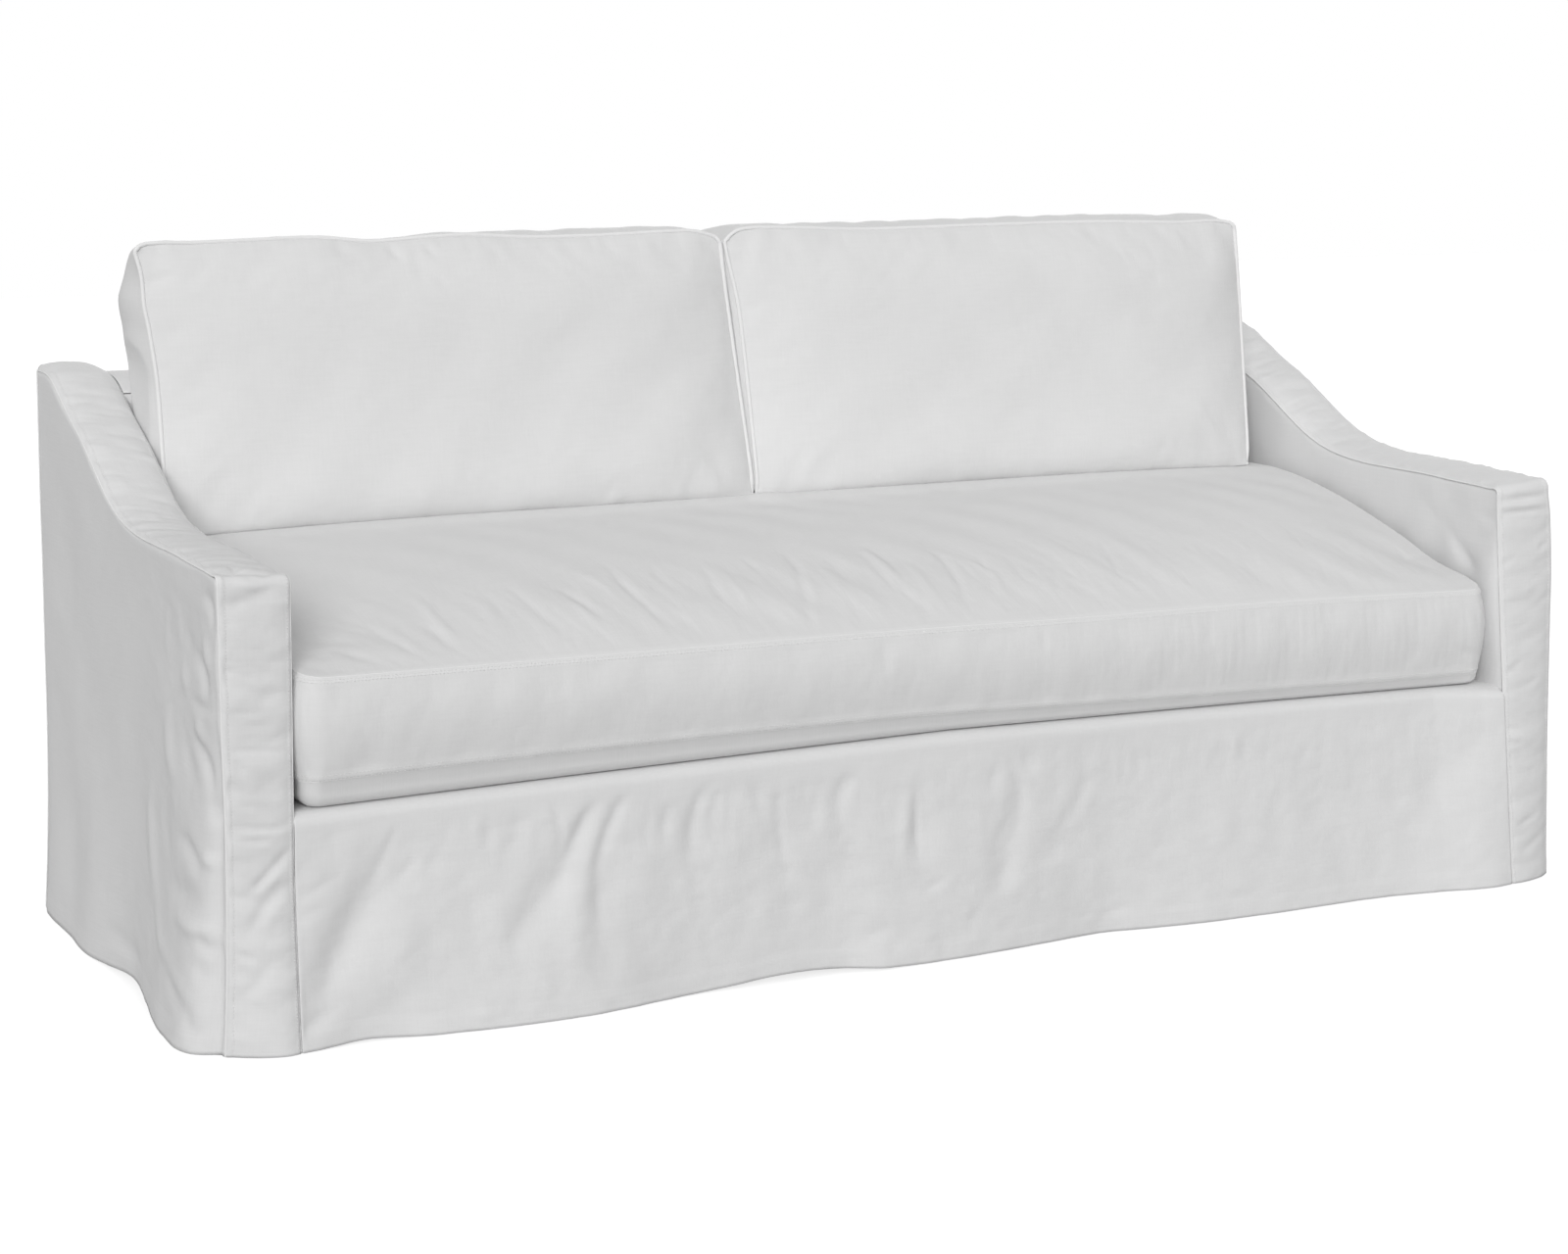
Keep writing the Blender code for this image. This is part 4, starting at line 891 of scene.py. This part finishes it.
def boxed_cushion(name, plan, faces, bulge, shares, limit, details, loose, bending, kept, fullness=None):
    """A filled cushion in a boxed cover: two faces on one plan grid and a boxing between them.

    The details give how far the cloth stands out of each face and of the boxing, and kept how much of
    the settled wrinkles stays on the face and on the boxing.
    Returns the piece's points, the loops of the boxing's rows and the boxing's normals.
    """
    count_i, count_j = plan.shape[:2]
    count = count_i * count_j
    a, b = plan[..., 0], plan[..., 1]
    upper, lower = (grid(*face(a, b)) for face in faces)
    middle = upper.mean(axis=(0, 1)) - lower.mean(axis=(0, 1))
    upper_normal, lower_normal = normals_of(upper, middle), normals_of(lower, -middle)
    ring = grid_ring(count_i, count_j)
    uv_plan = plan.reshape(-1, 2)
    places = uv_plan[ring]
    along = np.roll(places, -1, axis=0) - np.roll(places, 1, axis=0)
    outward = unit(np.stack((along[:, 1], -along[:, 0]), axis=1))
    if np.dot(outward[len(ring) // 8], places[len(ring) // 8] - places.mean(axis=0)) < 0:
        outward = -outward
    run_after = np.cumsum(np.linalg.norm(np.roll(places, -1, axis=0) - places, axis=1))
    run = np.append(0.0, run_after[:-1])
    start, end = upper.reshape(-1, 3)[ring], lower.reshape(-1, 3)[ring]
    share = shares[:, None]
    push = bulge(outward, start)
    swell = np.sin(math.pi * share) ** (1.0 if fullness is None else fullness(outward)[None])
    side = start[None] + share[..., None] * (end - start)[None] + push[None] * swell[..., None]
    side[0], side[-1] = start, end
    size, rows = len(ring), len(shares)
    loops = [ring] + [2 * count + k * size + np.arange(size) for k in range(rows - 2)] + [ring + count]
    quads = [grid_quads(count_i, count_j), grid_quads(count_i, count_j, count)[:, ::-1]]
    uv = [uv_plan[quads[0]], uv_plan[quads[1] - count]]
    quads += [np.stack((np.roll(one, -1), one, two, np.roll(two, -1)), axis=1)
              for one, two in zip(loops, loops[1:])]
    quads = np.concatenate(quads)

    def all_points():
        return limit(np.concatenate([part.reshape(-1, 3) for part in (upper, lower, side[1:-1])]))

    base = all_points()
    facing = quads if signed_volume(base, quads) > 0 else quads[:, ::-1]
    held = np.zeros(len(base), bool)
    held[ring] = held[count:2 * count] = True
    moved = settled(base, facing, held, bending) - base
    upper = upper + kept[0] * (wrinkles(moved[:count].reshape(upper.shape))
                               * ease(loose(a, b), 0.0, 0.012)[..., None])
    inner = kept[1] * wrinkles(moved[2 * count:].reshape(rows - 2, size, 3), wrap=True)
    side[1:-1] += inner * ease(edges(share)[1:-1], 0.0, 0.08)[..., None]
    side = side + unit(push) * details[2](*np.broadcast_arrays(run[None], share), side)[..., None]
    upper = upper + upper_normal * details[0](a, b)[..., None]
    lower = lower + lower_normal * details[1](a, b)[..., None]
    side[0], side[-1] = upper.reshape(-1, 3)[ring], lower.reshape(-1, 3)[ring]
    points = all_points()
    height = np.linspace(0.0, 1.0, rows) * np.linalg.norm(end - start, axis=1).mean()
    for low, high in zip(height, height[1:]):
        corners = ((run_after, low), (run, low), (run, high), (run_after, high))
        uv.append(np.stack([np.stack(np.broadcast_arrays(*corner), axis=1) for corner in corners], axis=1))
    uv = np.concatenate(uv)
    if signed_volume(points, quads) < 0:
        quads, uv = quads[:, ::-1], uv[:, ::-1]
    piece = make_piece(name, points, quads, uv.reshape(-1, 2), CUSHION_COTTON, nodes=(name,))
    return points, loops, normals_of(side, push)


# Folds of the seat's top, (x, y) of both ends, and of its front boxing, (x, z)
SEAT_TOP_FOLDS = creases(
    (-739, -319, -726, -393, 8, -3, 0.01), (-726, -251, -720, -364, 8, 3), (-796, -344, -783, -399, 8, -2),
    (-866, -360, -847, -399, 8, -2), (-811, -303, -804, -365, 7, -1.5), (-661, -280, -662, -339, 8, -1.5),
    (-593, -252, -578, -355, 7, -2), (-633, -264, -630, -341, 7, -1.5), (-528, -266, -500, -355, 8, -3),
    (-526, -301, -518, -364, 7, 2), (-432, -206, -423, -360, 7, -3, 0.03), (-481, -215, -454, -312, 7, 1.5),
    (-297, -230, -315, -350, 7, -2), (-266, -246, -273, -319, 6, -1.5), (-270, -268, -285, -359, 7, 2),
    (-222, -218, -224, -275, 6, -2), (-153, -212, -204, -375, 8, -3.5, -0.05),
    (-204, -375, -212, -411, 8, -2), (-163, -284, -179, -348, 7, 3), (-28, -215, -31, -315, 7, 2.5),
    (-43, -237, -49, -339, 7, -2), (10, -271, 4, -357, 8, 2), (-12, -351, -28, -398, 7, -2),
    (73, -238, 44, -384, 7, -3, -0.04), (112, -276, 100, -378, 6, 2, -0.16), (131, -272, 115, -332, 5, -2),
    (172, -293, 161, -350, 6, -1.5), (352, -255, 317, -367, 5, -2), (252, -280, 192, -387, 6, -1),
    (709, -233, 684, -314, 6, -1.5), (684, -351, 654, -403, 5, -1.5), (604, -274, 562, -351, 6, -1),
    (895, -247, 867, -330, 6, -1), (-370, -210, -370, -305, 8, -1.5), (-93, -240, -116, -326, 10, -1.2),
    (-839, -262, -819, -306, 10, -1.2),
)
SEAT_FRONT_FOLDS = creases(
    (-900, 452, -860, 400, 10, -2), (-600, 455, -590, 420, 9, -1.5), (-120, 452, -110, 410, 8, -1.5),
    (140, 446, 146, 420, 6, -2), (420, 440, 428, 400, 8, -1.5), (905, 420, 930, 380, 7, -2.5),
    (880, 360, 925, 345, 6, -2), (640, 355, 650, 330, 7, -1.2),
)


def seat_cushion():
    xs = spaced(SEAT_LEFT, SEAT_RIGHT, 0.0044, SEAT_COLUMNS)
    ys = spaced(FRONT, SEAT_BACK, 0.006, SEAT_COLUMNS)
    ys = np.concatenate((ys[ys < -0.12], np.arange(-0.118, 0.06, 0.0165), np.arange(0.06, 0.14, 0.008),
                         np.arange(0.146, 0.215, 0.0165), ys[ys > 0.218]))
    a, b = np.meshgrid(xs, ys, indexing="ij")
    plan = np.stack(round_corners(a, b, SEAT_LEFT, SEAT_RIGHT, FRONT, SEAT_BACK, SEAT_CORNER), axis=2)
    shares = spaced(0.0, SEAT_BOX, 0.0062) / SEAT_BOX

    def from_end(x):
        return edges(x, SEAT_LEFT, SEAT_RIGHT)

    def edge_distance(x, y):
        return np.minimum(from_end(x), edges(y, FRONT, SEAT_BACK))

    def top(x, y):
        seam = smooth(SEAT_SEAMS, x, 1)
        near_end = (1.0 - np.maximum(0.0, np.minimum(1.0, from_end(x) / SEAT_END_RISE))) ** 2
        share = smooth(SEAT_RISES, y, 1) * (1 - near_end) + smooth(SEAT_RISES, y, 2) * near_end
        pressed_up = 0.009 * np.exp(-((y - 0.122) / 0.03) ** 2) * (1 - near_end)
        pressed_up = pressed_up * (1 + 0.6 * np.exp(-((x + 0.015) / 0.025) ** 2))
        return x, y, seam + (SEAT_LEVEL - seam) * np.minimum(1.0, share) + pressed_up

    def bottom(x, y):
        seam = smooth(SEAT_SEAMS, x, 2)
        rest = deck_z(x) + GAP
        u = np.maximum(0.0, 1.0 - from_end(x) / SEAT_ROLL)
        v = np.maximum(0.0, 1.0 - edges(y, FRONT, SEAT_BACK) / SEAT_ROLL)
        drop = (1.0 - np.minimum(1.0, u * u + v * v) ** 1.4) ** (1 / 2.8)
        return x, y, seam - (seam - rest) * drop

    def bulge(outward, start):
        fuller = SEAT_BULGE + 0.002 * np.maximum(0.0, outward[:, 0])
        return grid(outward[:, 0] * fuller, outward[:, 1] * fuller, 0.0)

    def detail_top(x, y):
        edge = edge_distance(x, y)
        free = ease(edge, 0.0, 0.05) * (1 - ease(y, 0.02, 0.14))
        front_third = 1 - ease(y, -0.27, -0.17)
        return (free * (0.9 * folds(x, y, SEAT_TOP_FOLDS) + 0.0012 * ripple(x, y, 41, 0.16, 0.2)
                        + 0.0006 * front_third * crumple(x + 0.3 * y, y, 42, 0.03, 0.11))
                - seam_pull(edge, 0.001))

    def detail_bottom(x, y):
        return -seam_pull(edge_distance(x, y), 0.001)

    def detail_box(run, share, spot):
        edge, down = edges(share) * SEAT_DEPTH, share * SEAT_DEPTH
        right = ease(spot[..., 0], -0.1, 0.5)
        low = ease(share, 0.8, 0.9)
        return (ease(edge, 0.0, 0.02) * (folds(spot[..., 0], spot[..., 2], SEAT_FRONT_FOLDS)
                                         + 0.0008 * ripple(run, down, 43, 0.11, 0.25)
                                         + 0.0005 * crumple(run, down, 46, 0.03, 0.045)
                                         + 0.0004 * right * ripple(run, down, 44, 0.0135, 0.3, 5))
                + ease(edge, 0.0, 0.004) * 0.0005 * low
                * crumple(run + share * 0.1, down, 47, 0.01, 0.03, 1)
                - seam_pull(edge, 0.0005, 0.0025) + allowance(edge, 0.0088, 0.0008)
                + 0.0028 * band(share, 0.0, 0.07, 0.25, 0.95))

    def loose(x, y):
        return np.minimum(edge_distance(x, y), 0.012 * (1 - ease(y, -0.32, -0.18)))

    def limit(points):
        x, y, z = points.T
        return grid(x, y, np.minimum(z, SEAT_LEVEL + 0.012 * (1 - ease(y, 0.125, 0.14))))

    points, loops, normal = boxed_cushion(
        "seat_cushion", plan, (top, bottom), bulge, shares, limit, (detail_top, detail_bottom, detail_box),
        loose, 0.6, (0.4, 0.18))
    for start in (0, len(loops) - 1):
        depth = np.abs(shares - shares[start]) * SEAT_BOX
        for inset in (0.0, 0.003, 0.008):
            row = int(np.argmin(np.abs(depth - inset)))
            ring = np.append(loops[row], loops[row][0])
            spread = np.concatenate((normal[row], normal[row][:1]))
            if inset:
                add_stitches("seat_cushion", points[ring], spread, pitch=0.005, length=0.0034)
            else:
                add_seam("seat_cushion", points[ring], spread, 0.0009, 0.006, 0.0004)


# Folds of the back cushions' faces: (x, z) of both ends
BACK_LEFT_FOLDS = creases(
    (-960, 934, -917, 946, 6, -2.5), (-970, 981, -954, 972, 4, -2), (-943, 988, -932, 977, 5, -2),
    (-689, 983, -653, 967, 10, -2), (-600, 977, -580, 961, 6, -3), (-544, 980, -527, 962, 6, -3),
    (-560, 965, -553, 923, 12, -2), (-540, 937, -519, 914, 8, -1.5), (-954, 971, -922, 962, 6, -1),
    (-441, 976, -430, 951, 8, -1), (-131, 983, -122, 951, 8, -1),
)
BACK_RIGHT_FOLDS = creases(
    (-41, 990, -21, 969, 5, -2), (-16, 984, -8, 957, 6, -1.2), (49, 972, 63, 947, 10, -1),
    (151, 973, 164, 951, 10, -1),
)
OUTLINES = {
    "left": Outline(LEFT_END, LEFT_SPLIT, LEFT_TOP, 0.0, 0.036, 1, 61, BACK_LEFT_FOLDS),
    "right": Outline(RIGHT_SPLIT, RIGHT_END, RIGHT_TOP, 0.046, 0.0, -1, 65, BACK_RIGHT_FOLDS),
}


def back_cushion(side):
    outline = OUTLINES[side]
    to_split, seed = outline.to_split, outline.seed

    def ends(z):
        return smooth(outline.left, z), smooth(outline.right, z)

    columns, rows = spaced(0.0, 0.9, 0.0053) / 0.9, spaced(0.0, 0.4, 0.0053) / 0.4
    column, row = np.meshgrid(columns, rows, indexing="ij")
    left, right = ends(BACK_LOW + row * (SPLIT_Z - BACK_LOW))
    high = smooth(outline.top, left + column * (right - left))
    width, height = right - left, high - BACK_LOW
    at_split = ease(column if to_split > 0 else 1 - column, 0.6, 0.9) * ease(1 - row, 0.6, 0.9)
    radius = BACK_CORNER * (1 - 0.75 * at_split)
    a, b = round_corners(column * width, row * height, 0.0, width, 0.0, height, radius)
    plan = np.stack((left + a, BACK_LOW + b), axis=2)

    def shares(x, z):
        left, right = ends(z)
        across = np.clip((x - left) / (right - left), 0.0, 1.0)
        up = (z - BACK_LOW) / (smooth(outline.top, x) - BACK_LOW)
        return across, np.clip(up, 0.0, 1.0)

    def crown(across, up, foot=4):
        power = np.where(up < 0.5, foot, 4)
        return ((1 - np.abs(2 * across - 1) ** 4) * (1 - np.abs(2 * up - 1) ** power)) ** 0.75

    def front(x, z):
        above = z - BACK_LOW
        roll = 0.0125 * band(above, 0.0, 0.005, 0.006, 0.05)
        seam = BACK_SEAM_LOW_Y + BACK_SEAM_LEAN * above
        return x, seam - BACK_CROWN_FRONT * crown(*shares(x, z), foot=9), z - roll

    def rear(x, z):
        across, up = shares(x, z)
        y = inside_back_y(z) - 0.01 + BACK_CROWN_REAR * crown(across, up)
        shifted = x + outline.rear_right * across ** 3 + outline.rear_left * (1 - across) ** 3 * up ** 8
        return shifted, y, z - BACK_REAR_DROP * up

    def bulge(outward, start):
        up = shares(start[:, 0], start[:, 2])[1]
        reach = 0.18 - 0.16 * ease(to_split * outward[:, 0], 0.3, 0.9)
        from_corner = least(1.0, edges(up) / reach)
        side_swell = BACK_SIDE_BULGE * from_corner * np.abs(outward[:, 0])
        top_swell = smooth(outline.top, start[:, 0], 2) * np.maximum(0.0, outward[:, 1])
        return grid(outward[:, 0] * side_swell, 0.0, outward[:, 1] * top_swell)

    def fullness(outward):
        """The boxing stands fuller where the two cushions press on each other."""
        return 1.0 - 0.84 * ease(to_split * outward[:, 0], 0.2, 0.9)

    def edge_distance(x, z):
        across, up = shares(x, z)
        return np.minimum(edges(across) * 0.9, edges(up) * 0.4)

    def detail_front(x, z):
        edge, up = edge_distance(x, z), shares(x, z)[1]
        puckers = band(edge, 0.0, 0.004, 0.01, 0.045)
        around = np.where(edge < edges(up) * 0.4, z, x)
        soft = 0.0024 * ripple(x, z, seed, 0.26, 0.22) + 0.001 * crumple(x, z, seed + 1, 0.11, 0.09)
        fine = 0.0007 * puckers * crumple(around, edge, seed + 5, 0.022, 0.09, 2)
        return (ease(edge, 0.0, 0.04) * soft + ease(edge, 0.0, 0.008) * folds(x, z, outline.folds)
                + fine - seam_pull(edge, 0.001))

    def detail_rear(x, z):
        edge = edge_distance(x, z)
        return ease(edge, 0.0, 0.04) * 0.0015 * ripple(x, z, seed + 2, 0.2, 0.2) - seam_pull(edge, 0.0012)

    def detail_box(run, share, spot):
        edge = edges(share) * BACK_BOX
        wave = ripple(run, share * BACK_BOX, seed + 3, 0.1, 0.3)
        return ease(edge, 0.0, 0.03) * 0.0012 * wave - seam_pull(edge, 0.0012)

    def beside_split(x, z, room):
        plane = SPLIT_X + SPLIT_LEAN * (z - SPLIT_Z)
        return to_split * np.minimum(to_split * x, to_split * plane - room)

    def limit(points):
        x, y, z = points.T
        z = np.maximum(z, SEAT_LEVEL + GAP)
        x = beside_split(x, z, GAP / 2)
        above = np.clip(z - BACK_RELIEF_Z + 0.03, 0.0, 0.06)
        above = above ** 2 / 0.12 + np.maximum(0.0, z - BACK_RELIEF_Z - 0.03)
        room = ARM_IN - ARM_ROOM + 0.6 * above
        return grid(np.clip(x, -room, room), np.minimum(y, inside_back_y(z) - GAP + 1.2 * above), z)

    points, loops, _ = boxed_cushion(
        "back_cushion_" + side, plan, (front, rear), bulge, spaced(0.0, BACK_BOX, 0.0062) / BACK_BOX, limit,
        (detail_front, detail_rear, detail_box), edge_distance, 0.8, (0.45, 0.25), fullness)
    line = points[loops[0]]
    away = (line - points[:column.size].mean(axis=0)) * (1.0, 0.0, 1.0)
    up = unit(unit(away) * 0.65 + (0.0, -0.75, 0.0))
    line = line + up * 0.0016
    line[:, 0] = beside_split(line[:, 0], line[:, 2], WELT_RADIUS)
    low = 1 - ease(line[:, 2], BACK_LOW + 0.003, BACK_LOW + 0.02)
    line[:, 1] += 0.004 * low
    line[:, 2] = np.maximum(line[:, 2] - 0.003 * low, SEAT_LEVEL + WELT_RADIUS)
    name = "back_welt_" + side
    make_piece(name, *tube(line, up, WELT_RADIUS, 10, closed=True), PIPING, "piping", (name,))


# ---- Stage ----

PHOTO_WIDTH = 1600
FOCAL_PIXELS = 3257
SHIFT_PIXELS = -265
CAMERA_YAW = math.radians(27.51)
CAMERA_PITCH = math.radians(5.03)
CAMERA_PLACE = (-2.2283, -4.1905, 1.2087)
FLOOR_REACH = 14.0
FLOOR_LEVEL = -0.0008
FLOOR_GREY = 0.36
FLOOR_GLOW = 0.78
WORLD_LIGHT = 0.52
WHITE = (1.0, 1.0, 1.0, 1.0)
SUN_DISTANCE = 5
Sun = namedtuple("Sun", "name spread energy azimuth height")
SUNS = (Sun("key", 30, 1.84, -30, 21), Sun("fill", 60, 0.12, -80, 15), Sun("rear", 40, 1.5, 138, 6))


def look_at(place, target):
    forward = unit(np.asarray(target, float) - np.asarray(place, float))
    right = unit(np.cross(forward, (0.0, 0.0, 1.0)))
    up = np.cross(right, forward)
    matrix = Matrix.Identity(4)
    for k in range(3):
        matrix[k][0], matrix[k][1], matrix[k][2], matrix[k][3] = right[k], up[k], -forward[k], place[k]
    return matrix


def camera():
    """The photo's camera: its focal length and shift are in pixels of the photo's width."""
    place = np.array(CAMERA_PLACE) + SHIFT
    forward = np.array((math.sin(CAMERA_YAW) * math.cos(CAMERA_PITCH),
                        math.cos(CAMERA_YAW) * math.cos(CAMERA_PITCH), -math.sin(CAMERA_PITCH)))
    data = bpy.data.cameras.new("camera")
    data.sensor_fit = "HORIZONTAL"
    data.sensor_width = 36.0
    data.lens = FOCAL_PIXELS * data.sensor_width / PHOTO_WIDTH
    data.shift_y = SHIFT_PIXELS / PHOTO_WIDTH
    data.clip_end = 60.0
    eye = add_object("camera", data)
    eye.matrix_world = look_at(place, place + forward)
    bpy.context.scene.camera = eye


def stage():
    """A pale floor and a white world that the camera sees brighter than they light, and three suns."""
    mesh = bpy.data.meshes.new("floor")
    mesh.from_pydata([(x * FLOOR_REACH, y * FLOOR_REACH, FLOOR_LEVEL)
                      for x, y in ((-1, -1), (1, -1), (1, 1), (-1, 1))], [], [(0, 1, 2, 3)])
    mesh.update()
    pale = bpy.data.materials.new("pale_floor")
    pale.use_nodes = True
    seen = add_node(pale.node_tree, "LightPath").outputs["Is Camera Ray"]
    glow = add_node(pale.node_tree, "Math", {0: seen, 1: FLOOR_GLOW}, operation="MULTIPLY")
    set_sockets(pale.node_tree.nodes["Principled BSDF"], {
        "Base Color": (FLOOR_GREY, FLOOR_GREY, FLOOR_GREY, 1.0), "Roughness": 0.9, "Specular IOR Level": 0.1,
        "Emission Color": WHITE, "Emission Strength": glow.outputs[0]})
    mesh.materials.append(pale)
    floor = add_object("floor", mesh)
    world = bpy.context.scene.world or bpy.data.worlds.new("studio")
    bpy.context.scene.world = world
    world.use_nodes = True
    tree = world.node_tree
    soft = tree.nodes["Background"]
    set_sockets(soft, {"Color": WHITE, "Strength": WORLD_LIGHT})
    seen = add_node(tree, "LightPath").outputs["Is Camera Ray"]
    white = add_node(tree, "Background", {"Color": WHITE})
    mix = add_node(tree, "MixShader", {0: seen, 1: soft.outputs[0], 2: white.outputs[0]})
    set_sockets(tree.nodes["World Output"], {"Surface": mix.outputs[0]})
    for sun in SUNS:
        data = bpy.data.lights.new(sun.name, "SUN")
        data.angle = math.radians(sun.spread)
        data.energy = sun.energy
        turn, rise = math.radians(sun.azimuth), math.radians(sun.height)
        place = (math.sin(turn) * math.cos(rise), -math.cos(turn) * math.cos(rise), math.sin(rise))
        add_object(sun.name, data).matrix_world = look_at(np.multiply(SUN_DISTANCE, place), (0.0, 0.0, 0.0))
    bpy.context.scene.view_settings.view_transform = "Standard"


# ---- The whole scene ----


def main():
    camera()
    for side, word, lifts, arm_folds, band_folds, inside_folds in (
            (-1, "_left", LEFT_LIFTS, LEFT_ARM_FOLDS, LEFT_BAND_FOLDS, ()),
            (1, "_right", (), RIGHT_ARM_FOLDS, RIGHT_BAND_FOLDS, INSIDE_RIGHT_FOLDS)):
        outside_arm("outside_arm" + word, side, lifts, arm_folds)
        arm_band("arm_band" + word, side, band_folds)
        inside_arm("inside_arm" + word, side, inside_folds)
    front_apron()
    deck()
    inside_back()
    back_top()
    outside_back()
    seat_cushion()
    back_cushion("left")
    back_cushion("right")
    finish_sewing()
    stage()


main()
